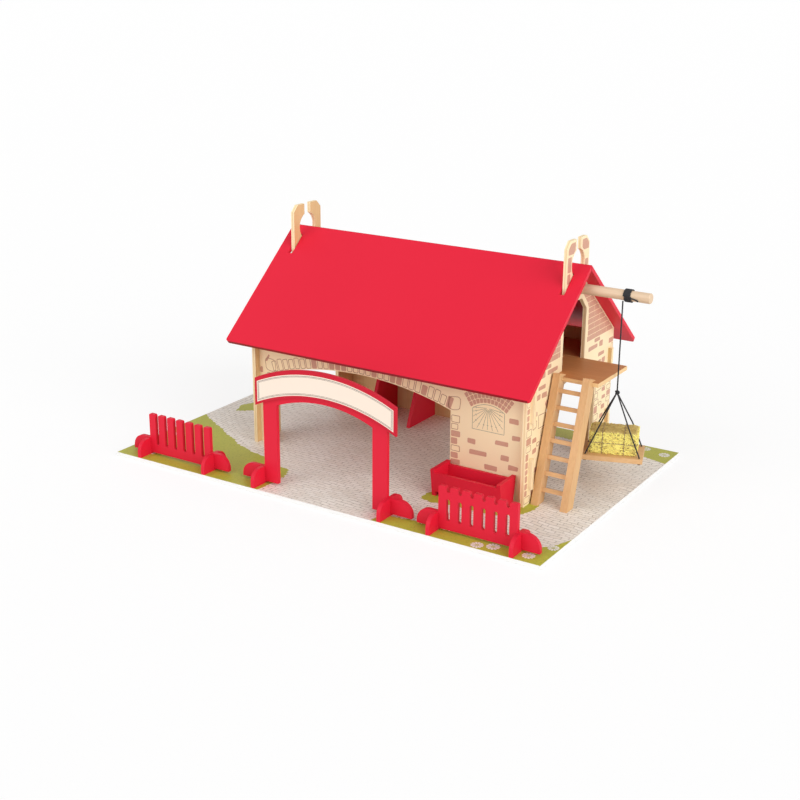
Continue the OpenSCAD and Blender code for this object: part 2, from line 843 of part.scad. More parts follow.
module trough_end_right() {
    trough_end(trough_x + trough_length / 2 - board_t);
}

// Half width of the trough at a height above the base
function trough_half(z) = (trough_foot_w + (trough_top_w - trough_foot_w) * z / trough_h) / 2;

// Slanted side board between the trough's ends; side is 1 for the back and -1 for the front
module trough_side(side) {
    low = trough_floor_z;
    high = trough_h - trough_step;
    color(red) along_y(trough_x - trough_length / 2 + board_t, trough_length - 2 * board_t)
        translate([trough_y, 0]) polygon([[side * trough_half(low), low], [side * trough_half(high), high],
            [side * (trough_half(high) - trough_side_t), high],
            [side * (trough_half(low) - trough_side_t), low]]);
}

module trough_front() {
    trough_side(-1);
}

module trough_back() {
    trough_side(1);
}

module trough_floor() {
    floor_w = 2 * (trough_half(trough_floor_z) - trough_side_t);
    color(red) translate([trough_x - trough_length / 2 + board_t, trough_y - floor_w / 2,
        base_t + trough_floor_z])
        cube([trough_length - 2 * board_t, floor_w, trough_side_t]);
}

base_board();
gable_left();
gable_right();
wall_front();
wall_back();
roof_front();
roof_back();
stall_divider_left();
stall_divider_right();
loft_floor();
loft_platform();
loft_ledge_front();
loft_ledge_back();
ladder_stile_left();
ladder_stile_right();
ladder_rungs();
hoist_beam();
hoist_winding();
hoist_cord_drop();
hoist_slings();
hoist_tray();
hay_bale();
gate_frame();
gate_sign();
gate_foot_left();
gate_foot_right();
fence_left();
fence_left_foot_a();
fence_left_foot_b();
fence_right();
fence_right_foot_a();
fence_right_foot_b();
trough_end_left();
trough_end_right();
trough_front();
trough_back();
trough_floor();
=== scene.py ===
# Looks of a wooden toy barn around its CAD boards: paint, plywood, printed masonry and ground,
# the sign's panel, the hoist's cords and the bale on its tray.
import math
import random

import bmesh
import bpy
from mathutils import Matrix, Vector
from mathutils.geometry import tessellate_polygon


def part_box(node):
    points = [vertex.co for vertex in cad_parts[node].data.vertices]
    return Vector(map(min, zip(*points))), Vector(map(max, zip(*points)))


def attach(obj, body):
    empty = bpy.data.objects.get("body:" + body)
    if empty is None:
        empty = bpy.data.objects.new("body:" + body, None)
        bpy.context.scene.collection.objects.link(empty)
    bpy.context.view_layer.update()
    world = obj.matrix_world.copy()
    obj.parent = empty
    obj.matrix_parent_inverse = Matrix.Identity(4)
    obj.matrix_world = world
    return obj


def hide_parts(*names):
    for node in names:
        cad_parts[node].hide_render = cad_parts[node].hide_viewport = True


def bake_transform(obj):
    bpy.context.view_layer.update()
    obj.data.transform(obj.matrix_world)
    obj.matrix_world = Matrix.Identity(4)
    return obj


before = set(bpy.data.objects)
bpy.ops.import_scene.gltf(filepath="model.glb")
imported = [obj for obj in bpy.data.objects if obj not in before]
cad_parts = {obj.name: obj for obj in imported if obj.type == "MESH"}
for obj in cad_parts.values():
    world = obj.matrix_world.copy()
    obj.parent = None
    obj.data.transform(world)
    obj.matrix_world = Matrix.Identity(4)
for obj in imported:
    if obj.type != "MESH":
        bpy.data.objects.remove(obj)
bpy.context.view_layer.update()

bl_info = {
    "name": "Toy barn looks",
    "version": (1, 0, 0),
    "blender": (4, 5, 0),
    "location": "View3D > Sidebar > Toy barn",
    "description": "Paint, print, cords and straw for a wooden toy barn",
    "category": "Object",
}

MM = 0.001
PRINT_LIFT = 0.12
PRINT_SINK = 0.15


def tone(code):
    """Linear colour of a hex code."""
    channels = [int(code[start:start + 2], 16) / 255 for start in (0, 2, 4)]
    return tuple(c / 12.92 if c <= 0.04045 else ((c + 0.055) / 1.055) ** 2.4 for c in channels)


def box_mm(node):
    """Lowest and highest corner of a CAD node in millimetres."""
    return [Vector(corner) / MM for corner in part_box(node)]


BASE_LOW, BASE_HIGH = box_mm("base_board")
BASE_TOP = BASE_HIGH.z
WALL_FRONT = box_mm("wall_front")[0].y
WALL_BACK = box_mm("wall_back")[1].y
GABLE_LEFT, ROOM_LEFT = (corner.x for corner in box_mm("gable_left"))
ROOM_RIGHT, GABLE_RIGHT = (corner.x for corner in box_mm("gable_right"))
RIDGE_Y = sum(corner.y for corner in box_mm("gable_right")) / 2
BARN_X = (GABLE_LEFT + GABLE_RIGHT) / 2
DOORWAY_HALF = 68
LOFT_CLEAR, LOFT_SHOULDER, LOFT_HEAD = 37.5, 211, 230
ROOF_ANGLE = math.radians(40)
LADDER_LEAN = math.radians(17)
LOAD_TURN = Matrix.Rotation(math.radians(19), 3, "Z")
CORD_TURNS = 6
TRAY_HOLE = Vector((32, 21, 0))
CAMERA_PLACE = (0.8640829, -1.3660202, 0.6301995)
CAMERA_YAW, CAMERA_PITCH, CAMERA_ROLL = 0.5636161, 0.3298990, 0.0076461


# Properties
def colour_property(name, description, code):
    return bpy.props.FloatVectorProperty(name=name, description=description, subtype="COLOR",
                                         size=3, min=0, max=1, default=tone(code))


def length_property(name, description, default, low, high):
    return bpy.props.FloatProperty(name=name, description=description, default=default * MM,
                                   min=low * MM, max=high * MM, subtype="DISTANCE", unit="LENGTH",
                                   precision=5)


def number_property(name, description, default, low, high):
    return bpy.props.FloatProperty(name=name, description=description, default=default, min=low, max=high)


class ToyBarnPaint(bpy.types.PropertyGroup):
    roof_red: colour_property("Roof red", "Paint of the two roof panels", "E2203A")
    board_red: colour_property("Board red", "Paint of the gate, fences, trough and stalls", "DF2039")
    cream: colour_property("Cream", "Ground colour of the printed walls", "FCE7BC")
    birch: colour_property("Birch", "Bare plywood inside the barn and on cut edges", "E6C793")
    loft_brown: colour_property("Loft brown", "Stain of the loft boards", "C98B55")
    ply_edge: colour_property("Plywood edge", "Cut edges of the loft boards", "EBC48C")
    pale_wood: colour_property("Pale wood", "Dowel and battens", "E8CFB2")
    warm_wood: colour_property("Warm wood", "Ladder and tray", "E7BD8A")


class ToyBarnPrint(bpy.types.PropertyGroup):
    brick: colour_property("Brick", "Filled bricks on the walls", "CE957A")
    outline: colour_property("Outline", "Lines round the pale stones", "AC7E60")
    dial_line: colour_property("Dial line", "Lines of the sundial", "7C7C64")
    stone_light: colour_property("Light cobble", "Cobbles of the yard", "FAF6EE")
    stone_dark: colour_property("Dark cobble", "Second tone of the cobbles", "EDE7DC")
    joint: colour_property("Cobble joint", "Joints between the cobbles", "9A9084")
    grass: colour_property("Grass", "Printed grass", "A9AC3A")
    sign_cream: colour_property("Sign cream", "Panel on the sign board", "F4E3D2")
    petal: colour_property("Petal", "Petals of the daisies", "F3F1E6")
    line_width: length_property("Line width", "Width of the printed outlines", 0.75, 0.2, 2)
    brick_gap: length_property("Brick gap", "Gap between neighbouring printed bricks", 0.7, 0.3, 3)


class ToyBarnHoist(bpy.types.PropertyGroup):
    cord_black: colour_property("Cord black", "Braided cord of the hoist", "0B0B0C")
    straw_yellow: colour_property("Straw yellow", "Sides of the bale", "E4D478")
    straw_beige: colour_property("Straw beige", "Top of the bale", "C9B26E")
    cord_width: length_property("Cord width", "Thickness of the hoist's cord", 1.8, 1, 2.4)
    strands: bpy.props.IntProperty(name="Straws", description="Loose straws on the bale's faces",
                                   default=900, min=0, max=3000)


class ToyBarnStage(bpy.types.PropertyGroup):
    floor: colour_property("Floor", "Pale floor", "FAFAFA")
    sky_level: number_property("Sky level", "Strength of the soft surrounding light", 0.5, 0, 3)
    key_level: number_property("Key level", "Strength of the soft sun in front", 1.0, 0, 10)
    side_level: number_property("Side level", "Strength of the soft sun at the side", 1.8, 0, 10)
    lens: number_property("Lens", "Focal length of the camera in millimetres", 60.05, 20, 200)


# Shader helpers
def put(tree, value, socket):
    """Links a socket to another one, or sets it to a value."""
    if isinstance(value, bpy.types.NodeSocket):
        tree.links.new(value, socket)
    elif socket.type == "RGBA" and len(value) == 3:
        socket.default_value = (*value, 1)
    else:
        socket.default_value = value


def add(tree, kind, inputs=None, **settings):
    """A shader node with its settings, its values and its links."""
    made = tree.nodes.new(kind)
    for key, value in settings.items():
        setattr(made, key, value)
    for key, value in (inputs or {}).items():
        put(tree, value, made.inputs[key])
    return made


def mix_colours(tree, share, first, second):
    """Colour between two colours; share, first and second are sockets or values."""
    return add(tree, "ShaderNodeMix", {0: share, 6: first, 7: second}, data_type="RGBA").outputs[2]


def calculate(tree, operation, first, second=0.0):
    return add(tree, "ShaderNodeMath", {0: first, 1: second}, operation=operation).outputs[0]


def times(tree, first, second):
    return calculate(tree, "MULTIPLY", first, second)


def spread(tree, value, low, high):
    """Value from 0 to 1 stretched between low and high."""
    return add(tree, "ShaderNodeMapRange", {"Value": value, "To Min": low, "To Max": high}).outputs[0]


def noise(tree, vector, scale, detail, roughness=0.5, distortion=0.0):
    return add(tree, "ShaderNodeTexNoise", {
        "Vector": vector, "Scale": scale, "Detail": detail, "Roughness": roughness,
        "Distortion": distortion}).outputs[0]


def clamped(tree, value):
    return add(tree, "ShaderNodeClamp", {"Value": value}).outputs[0]


def scaled(colour, *factors):
    """Colour with its three parts multiplied, and none over 1."""
    return tuple(min(1, c * f) for c, f in zip(colour, factors if len(factors) == 3 else factors * 3))


def new_group(name, inputs, outputs):
    """Empty node group, with its inputs and its outputs by name."""
    group = bpy.data.node_groups.new(name, "ShaderNodeTree")
    for label, default in inputs.items():
        kind = "Vector" if default is None else "Color" if isinstance(default, tuple) else "Float"
        socket = group.interface.new_socket(label, in_out="INPUT", socket_type="NodeSocket" + kind)
        if default is not None:
            socket.default_value = default
    for label in outputs:
        kind = "Color" if label == "Color" else "Float"
        group.interface.new_socket(label, in_out="OUTPUT", socket_type="NodeSocket" + kind)
    return group, group.nodes.new("NodeGroupInput").outputs, group.nodes.new("NodeGroupOutput").inputs


def wood_grain_group(name):
    """Grain lines and broad tone of a board; Vector runs slowly along the grain."""
    group, start, end = new_group(name, {"Vector": None, "Pale": (1, 1, 1, 1), "Dark": (0.5, 0.3, 0.2, 1),
                                         "Contrast": 0.5}, ("Color", "Height"))
    lines = noise(group, start["Vector"], 1.0, 6.0, 0.62, 0.4)
    broad = noise(group, start["Vector"], 0.16, 3.0, 0.5, 1.2)
    both = times(group, spread(group, lines, -0.45, 1.25), start["Contrast"])
    wide = times(group, broad, start["Contrast"])
    share = clamped(group, calculate(group, "ADD", both, wide))
    put(group, mix_colours(group, share, start["Pale"], start["Dark"]), end["Color"])
    put(group, lines, end["Height"])
    return group


def paint_group(name):
    """Sprayed paint: faint clouds, a fine skin and a slightly uneven gloss."""
    group, start, end = new_group(name, {"Vector": None, "Paint": (1, 0, 0, 1), "Clouds": 0.1},
                                  ("Color", "Roughness", "Height"))
    clouds = noise(group, start["Vector"], 7.0, 3.0)
    darker = mix_colours(group, 0.55, start["Paint"], (0.25, 0.0, 0.01))
    share = times(group, clouds, start["Clouds"])
    put(group, mix_colours(group, share, start["Paint"], darker), end["Color"])
    put(group, spread(group, clouds, 0.36, 0.5), end["Roughness"])
    put(group, noise(group, start["Vector"], 900.0, 2.0), end["Height"])
    return group


def print_ink_group(name):
    """Printed ink: tiny specks and faint clouds over one tone."""
    group, start, end = new_group(name, {"Vector": None, "Ink": (1, 1, 1, 1), "Specks": 0.2},
                                  ("Color", "Roughness"))
    specks = noise(group, start["Vector"], 420.0, 3.0, 0.7)
    clouds = noise(group, start["Vector"], 26.0, 2.0)
    share = times(group, times(group, specks, clouds), start["Specks"])
    lighter = mix_colours(group, 0.5, start["Ink"], (1.0, 0.93, 0.8))
    darker = mix_colours(group, 0.35, start["Ink"], (0.3, 0.17, 0.1))
    toned = mix_colours(group, share, start["Ink"], lighter)
    shade = times(group, times(group, clouds, start["Specks"]), 0.6)
    put(group, mix_colours(group, shade, toned, darker), end["Color"])
    put(group, spread(group, specks, 0.45, 0.62), end["Roughness"])
    return group


SHARED_GROUPS = {
    "wood grain": wood_grain_group, "sprayed paint": paint_group, "printed ink": print_ink_group}


def use_group(tree, name, inputs):
    """Outputs of a shared node group, which is made at its first use."""
    group = bpy.data.node_groups.get(name) or SHARED_GROUPS[name](name)
    return add(tree, "ShaderNodeGroup", inputs, node_tree=group).outputs


def blank_material(name):
    """Material with only its shader and output, and the shader's inputs."""
    material = bpy.data.materials.new(name)
    material.use_nodes = True
    tree = material.node_tree
    tree.nodes.clear()
    shader = tree.nodes.new("ShaderNodeBsdfPrincipled")
    end = tree.nodes.new("ShaderNodeOutputMaterial")
    tree.links.new(shader.outputs[0], end.inputs["Surface"])
    return material, tree, shader.inputs


def object_place(tree, scale=(1, 1, 1), turn=(0, 0, 0)):
    """Place on the object, stretched for a grain direction."""
    place = add(tree, "ShaderNodeTexCoord").outputs["Object"]
    return add(tree, "ShaderNodeMapping", {"Vector": place, "Scale": scale, "Rotation": turn}).outputs[0]


def add_bump(tree, skin, height, strength, distance):
    bump = add(tree, "ShaderNodeBump", {"Height": height, "Strength": strength, "Distance": distance})
    put(tree, bump.outputs[0], skin["Normal"])


def grain_place(tree, along, turn=(0, 0, 0)):
    """Place stretched so that the grain runs along one axis."""
    return object_place(tree, tuple(22 if axis == along else 420 for axis in "xyz"), turn)


def wood_material(name, pale, along, depth, turn=(0, 0, 0), edge=None):
    """Clear-varnished wood with its grain along one axis; edge is the tone of its upright faces."""
    material, tree, skin = blank_material(name)
    grain = use_group(tree, "wood grain", {"Vector": grain_place(tree, along, turn), "Pale": pale,
                                           "Dark": scaled(pale, 0.72, 0.6, 0.45), "Contrast": depth})
    colour = grain["Color"]
    if edge:
        flat = calculate(tree, "MAXIMUM", face_mask(tree, "z", 1), face_mask(tree, "z", -1))
        colour = mix_colours(tree, flat, edge, colour)
    put(tree, colour, skin["Base Color"])
    put(tree, spread(tree, grain["Height"], 0.45, 0.61), skin["Roughness"])
    add_bump(tree, skin, grain["Height"], 0.12, 0.0004)
    return material


def paint_material(name, colour, along, painted_end_shade=False):
    """Satin paint on plywood, with the grain just showing through; the last flag puts painted shade on a
    roof's cut ends at the ridge and the eaves.
    """
    material, tree, skin = blank_material(name)
    paint = use_group(tree, "sprayed paint", {"Vector": object_place(tree), "Paint": colour, "Clouds": 0.16})
    grain = use_group(tree, "wood grain", {"Vector": grain_place(tree, along), "Contrast": 0.4})
    toned = paint["Color"]
    if painted_end_shade:
        # Painted shade: the cut ends at the ridge and the eaves are darkened to look shaded.
        toned = mix_colours(tree, shaded_end_mask(tree), toned, scaled(colour, 0.42))
    put(tree, toned, skin["Base Color"])
    put(tree, paint["Roughness"], skin["Roughness"])
    height = calculate(tree, "ADD", times(tree, paint["Height"], 0.25), grain["Height"])
    add_bump(tree, skin, height, 0.1, 0.0003)
    skin["Specular IOR Level"].default_value = 0.16
    skin["Coat Weight"].default_value = 0.02
    skin["Coat Roughness"].default_value = 0.3
    return material


def split_place(tree, kind):
    """The three parts of the object's own place or normal."""
    place = add(tree, "ShaderNodeTexCoord").outputs[kind]
    return add(tree, "ShaderNodeSeparateXYZ", {0: place}).outputs


def face_mask(tree, axis, side):
    """1 on the faces that look along one axis, on one side."""
    part = split_place(tree, "Normal")["xyz".index(axis)]
    return calculate(tree, "GREATER_THAN", times(tree, part, side), 0.5)


def shaded_end_mask(tree):
    """1 on the cut ends of a sloping panel at the ridge and the eaves, where the roof gets its painted
    shade.
    """
    parts = split_place(tree, "Normal")
    steep = calculate(tree, "LESS_THAN", calculate(tree, "ABSOLUTE", parts[2]), 0.7)
    level = calculate(tree, "LESS_THAN", calculate(tree, "ABSOLUTE", parts[0]), 0.3)
    return times(tree, steep, level)


def ply_edge_colour(tree, axis, low, high, pale):
    """Three plies on the cut edges of a board."""
    depth = add(tree, "ShaderNodeMapRange", {"Value": split_place(tree, "Object")["xyz".index(axis)],
                                             "From Min": low * MM, "From Max": high * MM})
    ramp = add(tree, "ShaderNodeValToRGB", {"Fac": depth.outputs[0]})
    ramp.color_ramp.interpolation = "CONSTANT"
    marks = ramp.color_ramp.elements
    marks[1].position = 0.68
    core = marks.new(0.32)
    for mark in marks:
        mark.color = (*pale, 1)
    core.color = (*scaled(pale, 0.86, 0.8, 0.7), 1)
    return ramp.outputs[0]


def printed_board_material(name, node, axis, side, cream, birch):
    """Plywood board with a cream print on one face, bare inside and with plies on its edges."""
    material, tree, skin = blank_material(name)
    low, high = (getattr(corner, axis) for corner in box_mm(node))
    ink = use_group(tree, "printed ink", {"Vector": object_place(tree), "Ink": cream, "Specks": 0.3})
    grain = use_group(tree, "wood grain", {"Vector": grain_place(tree, "z"), "Pale": birch,
                                           "Dark": scaled(birch, 0.78, 0.66, 0.5), "Contrast": 0.5})
    edge = ply_edge_colour(tree, axis, low, high, cream)
    bare = mix_colours(tree, face_mask(tree, axis, -side), edge, grain["Color"])
    put(tree, mix_colours(tree, face_mask(tree, axis, side), bare, ink["Color"]), skin["Base Color"])
    put(tree, ink["Roughness"], skin["Roughness"])
    add_bump(tree, skin, grain["Height"], 0.08, 0.0003)
    return material


def ground_material(prints):
    """Printed cobbles on the base board's top, and white lacquer on its edges."""
    material, tree, skin = blank_material("printed ground")
    place = moved = object_place(tree, (1000, 1000, 1000))
    for scale, detail, reach in ((0.011, 1.0, (14, 34, 0)), (0.16, 2.0, (2.2, 1.8, 0))):
        cloud = noise(tree, place, scale, detail).node.outputs["Color"]
        push = add(tree, "ShaderNodeVectorMath", {0: cloud, 1: reach}, operation="MULTIPLY")
        moved = add(tree, "ShaderNodeVectorMath", {0: moved, 1: push.outputs[0]}, operation="ADD").outputs[0]
    stones = add(tree, "ShaderNodeTexBrick", {
        "Vector": moved, "Color1": prints.stone_light, "Color2": prints.stone_dark, "Mortar": (0, 0, 0, 1),
        "Scale": 1.0, "Mortar Size": 0.5, "Mortar Smooth": 0.3, "Bias": -0.1, "Brick Width": 13.0,
        "Row Height": 5.4}, offset=0.45, squash=1.0).outputs
    dashes = spread(tree, noise(tree, place, 0.21, 2.0), -0.3, 1.6)
    joint_share = clamped(tree, times(tree, stones["Fac"], dashes))
    plain = mix_colours(tree, stones["Fac"], stones["Color"], prints.stone_light)
    cobbles = mix_colours(tree, joint_share, plain, prints.joint)
    ink = use_group(tree, "printed ink", {"Vector": object_place(tree), "Ink": cobbles, "Specks": 0.35})
    lacquer = (0.86, 0.86, 0.84)
    put(tree, mix_colours(tree, face_mask(tree, "z", 1), lacquer, ink["Color"]), skin["Base Color"])
    put(tree, ink["Roughness"], skin["Roughness"])
    return material


def ink_material(name, colour, specks=0.4):
    """One printed tone."""
    material, tree, skin = blank_material(name)
    ink = use_group(tree, "printed ink", {"Vector": object_place(tree), "Ink": colour, "Specks": specks})
    put(tree, ink["Color"], skin["Base Color"])
    put(tree, ink["Roughness"], skin["Roughness"])
    return material


def grass_material(colour):
    """Printed grass: short strokes of lighter and darker green."""
    material, tree, skin = blank_material("grass ink")
    strokes = noise(tree, object_place(tree, (900, 300, 900)), 1.0, 4.0, 0.7)
    patches = noise(tree, object_place(tree), 34.0, 3.0)
    first = mix_colours(tree, spread(tree, strokes, -0.5, 1.4), scaled(colour, 1.3, 1.25, 1.3), colour)
    dim = times(tree, calculate(tree, "GREATER_THAN", strokes, 0.6), 0.55)
    second = mix_colours(tree, dim, first, scaled(colour, 0.52, 0.58, 0.5))
    put(tree, mix_colours(tree, spread(tree, patches, -0.35, 0.75), second, colour), skin["Base Color"])
    skin["Roughness"].default_value = 0.55
    return material


def cord_material(colour):
    """Black braided cord."""
    material, tree, skin = blank_material("black cord")
    fibre = noise(tree, object_place(tree), 2600.0, 2.0)
    put(tree, mix_colours(tree, fibre, colour, (0.035, 0.035, 0.04)), skin["Base Color"])
    put(tree, spread(tree, fibre, 0.62, 0.9), skin["Roughness"])
    add_bump(tree, skin, fibre, 0.5, 0.0002)
    return material


def straw_material(name, colour, flecks):
    """Pressed straw with dark flecks between the stalks."""
    material, tree, skin = blank_material(name)
    stalks = noise(tree, object_place(tree, (420, 420, 900)), 1.0, 5.0, 0.75)
    dark = calculate(tree, "LESS_THAN", stalks, flecks)
    toned = mix_colours(tree, spread(tree, stalks, -0.6, 1.5), colour, scaled(colour, 1.18, 1.16, 1.1))
    put(tree, mix_colours(tree, dark, toned, (0.16, 0.1, 0.025)), skin["Base Color"])
    skin["Roughness"].default_value = 0.75
    add_bump(tree, skin, stalks, 0.5, 0.0006)
    return material


# Mesh helpers
def new_object(name, data):
    """Object linked to the scene."""
    made = bpy.data.objects.new(name, data)
    bpy.context.scene.collection.objects.link(made)
    return made


def finish_mesh(name, mesh, materials, body, smooth=False):
    """Piece from a bmesh, on a body and with its slot."""
    bmesh.ops.recalc_face_normals(mesh, faces=mesh.faces)
    data = bpy.data.meshes.new(name)
    mesh.to_mesh(data)
    mesh.free()
    for material in materials:
        data.materials.append(material)
    if smooth:
        data.polygons.foreach_set("use_smooth", [True] * len(data.polygons))
    piece = new_object(name, data)
    if body:
        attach(piece, body)
    return piece


def neighbours(corners):
    """Each corner of a closed outline, between the one before and the one after it."""
    count = len(corners)
    for index in range(count):
        yield [Vector(corners[(index + k) % count]) for k in (-1, 0, 1)]


def inset_outline(corners, step):
    """Outline moved inwards by a step; corners run round it either way."""
    area = sum(a[0] * b[1] - b[0] * a[1] for a, b in zip(corners, corners[1:] + corners[:1]))
    turn = 1 if area > 0 else -1
    moved = []
    for before, here, after in neighbours(corners):
        first = (here - before).normalized()
        second = (after - here).normalized()
        normal = Vector((-first.y - second.y, first.x + second.x)) * turn
        if normal.length < 1e-6:
            normal = Vector((-first.y, first.x)) * turn
        normal.normalize()
        lean = max(0.4, abs(normal.dot(Vector((-first.y, first.x)))))
        moved.append(tuple(here + normal * step / lean))
    return moved


def soft_outline(corners, radius):
    """Outline with each corner cut twice."""
    soft = []
    for before, here, after in neighbours(corners):
        back = before - here
        forth = after - here
        reach = min(radius, back.length * 0.4, forth.length * 0.4)
        start = here + back.normalized() * reach
        stop = here + forth.normalized() * reach
        soft += [tuple(start), tuple((start + stop + here) / 3), tuple(stop)]
    return soft


class PrintedFace:
    """Thin printed shapes on one face of a board, drawn in millimetres on that face."""

    def __init__(self, place):
        self.place = place
        self.mesh = bmesh.new()

    def ring(self, corners, height):
        return [self.mesh.verts.new(self.place(a, b, height) * MM) for a, b in corners]

    def fill(self, corners, slot, lift=PRINT_LIFT):
        """Closed flat shape."""
        top = self.ring(corners, lift)
        foot = self.ring(corners, -PRINT_SINK)
        flat = [Vector((a, b, 0)) for a, b in corners]
        for triangle in tessellate_polygon([flat]):
            for level in (top, foot):
                self.face([level[corner] for corner in triangle], slot)
        for index in range(len(corners)):
            after = (index + 1) % len(corners)
            self.face((top[index], top[after], foot[after], foot[index]), slot)

    def face(self, corners, slot):
        try:
            self.mesh.faces.new(corners).material_index = slot
        except ValueError:
            pass

    def band(self, outer, inner, slot, closed, lift=PRINT_LIFT):
        """Line between two outlines with as many corners."""
        rings = [self.ring(outer, lift), self.ring(inner, lift),
                 self.ring(inner, -PRINT_SINK), self.ring(outer, -PRINT_SINK)]
        count = len(outer)
        for index in range(count if closed else count - 1):
            after = (index + 1) % count
            for level in range(4):
                here, there = rings[level], rings[(level + 1) % 4]
                self.face((here[index], here[after], there[after], there[index]), slot)
        if not closed:
            for index in (0, count - 1):
                self.face([level[index] for level in rings], slot)

    def outline(self, corners, width, slot, lift=PRINT_LIFT):
        self.band(corners, inset_outline(corners, width), slot, True, lift)

    def stroke(self, points, width, slot, lift=PRINT_LIFT):
        """Open line of one width."""
        left, right = [], []
        for index, point in enumerate(points):
            before = Vector(points[max(index - 1, 0)])
            after = Vector(points[min(index + 1, len(points) - 1)])
            way = (after - before).normalized()
            side = Vector((-way.y, way.x)) * width / 2
            left.append(tuple(Vector(point) + side))
            right.append(tuple(Vector(point) - side))
        self.band(left, right, slot, False, lift)


def brick_corners(left, low, width, height, dice, slack=0.5):
    """Hand-drawn brick outline."""
    def shift():
        return dice.uniform(-slack, slack)
    return soft_outline([(left + a + shift(), low + b + shift())
                         for a, b in ((0, 0), (width, 0), (width, height), (0, height))], 1.1)


BRICK, OUTLINE, DIAL = 0, 1, 2


def print_inks():
    """The three printed tones, made at their first use."""
    prints = bpy.context.scene.toy_barn_print
    return [bpy.data.materials.get(name) or ink_material(name, colour, specks) for name, colour, specks in (
        ("brick ink", prints.brick, 0.75), ("outline ink", prints.outline, 0.4),
        ("dial ink", prints.dial_line, 0.4))]


def draw_stone(face, corners, dice, filled_share, width):
    """Filled brick or outlined pale stone."""
    if dice.random() < filled_share:
        face.fill(corners, BRICK)
    else:
        face.outline(corners, width, OUTLINE)


def flat_arc(half, rise):
    """Radius of a flat arch, and half its angle."""
    radius = (half ** 2 + rise ** 2) / (2 * rise)
    return radius, math.asin(half / radius)


def arch_stones(face, middle, half, spring, rise, depth, count, dice, filled_share, width):
    """Upright stones along an arch."""
    radius, reach = flat_arc(half, rise)
    centre = spring + rise - radius
    step = 2 * reach / count
    for index in range(count):
        start = -reach + index * step + 0.7 / radius
        stop = start + step - 1.4 / radius
        inner = radius + 1.2
        outer = inner + depth * dice.uniform(0.86, 1.04)
        corners = [(middle + r * math.sin(angle), centre + r * math.cos(angle))
                   for r, angle in ((inner, start), (inner, stop), (outer, stop), (outer, start))]
        draw_stone(face, soft_outline(corners, 1.4), dice, filled_share, width)


def jamb_stones(face, edge, side, low, high, dice, filled_share, width):
    """Column of stones beside an opening; side is 1 when they lie towards higher values."""
    level = low
    index = 0
    while level < high - 5:
        tall = min(dice.uniform(5.5, 9.5), high - level)
        wide = (9.2, 12.4)[index % 2] + dice.uniform(-0.8, 0.8)
        left = edge + 1.2 if side > 0 else edge - 1.2 - wide
        draw_stone(face, brick_corners(left, level, wide, tall, dice, 0.35), dice, filled_share, width)
        level += tall + 1.3
        index += 1


def scattered_bricks(face, columns, rows, share, allowed, dice):
    """Single bricks on a loose running bond, where allowed says so."""
    low, high, tall = rows
    level = low
    shifted = False
    while level + tall < high:
        place = columns[0] + (8 if shifted else 0)
        while place < columns[1]:
            wide = dice.uniform(9, 20)
            here = dice.random() < share
            corners = brick_corners(place, level, wide, tall * dice.uniform(0.85, 1.05), dice, 0.7)
            if here and all(allowed(a, b) for a, b in corners):
                face.fill(corners, BRICK)
            place += wide + dice.uniform(2.5, 7)
        level += tall + 3.6
        shifted = not shifted


# Operators
class TOYBARN_OT_boards(bpy.types.Operator):
    """Gives each CAD board its paint, print ground or wood"""
    bl_idname = "toybarn.boards"
    bl_label = "Paint the boards"

    def execute(self, context):
        paint = context.scene.toy_barn_paint
        printed = {
            "wall_front": ("y", -1), "wall_back": ("y", 1), "gable_left": ("x", -1), "gable_right": ("x", 1)}
        chosen = {node: printed_board_material("printed " + node.replace("_", " "), node, axis, side,
                                               paint.cream, paint.birch)
                  for node, (axis, side) in printed.items()}
        # The roof's cut ends at the ridge and the eaves get painted shade.
        roof = paint_material("roof red", paint.roof_red, "x", True)
        red_x = paint_material("board red", paint.board_red, "x")
        red_z = paint_material("board red upright", paint.board_red, "z")
        rungs = wood_material("warm wood along", paint.warm_wood, "x", 0.5)
        stile = wood_material("warm wood upright", paint.warm_wood, "z", 0.5, (-LADDER_LEAN, 0, 0))
        brown = wood_material("loft brown", paint.loft_brown, "x", 0.5, edge=paint.ply_edge)
        chosen["base_board"] = ground_material(context.scene.toy_barn_print)
        chosen["gate_sign"] = paint_material("sign red", scaled(paint.board_red, 0.8), "x")
        by_start = {"roof": roof, "stall": red_z, "gate_foot": red_z, "fence_left_foot": red_z,
                    "fence_right_foot": red_z, "gate": red_x, "fence": red_x, "trough": red_x,
                    "ladder_stile": stile, "ladder_rungs": rungs, "hoist_tray": rungs,
                    "loft_floor": brown, "loft_platform": brown,
                    "": wood_material("pale wood", paint.pale_wood, "x", 0.4)}
        for node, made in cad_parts.items():
            start = next(start for start in by_start if node.startswith(start))
            material = chosen.get(node) or by_start[start]
            made.data.materials.clear()
            made.data.materials.append(material)
        return {"FINISHED"}


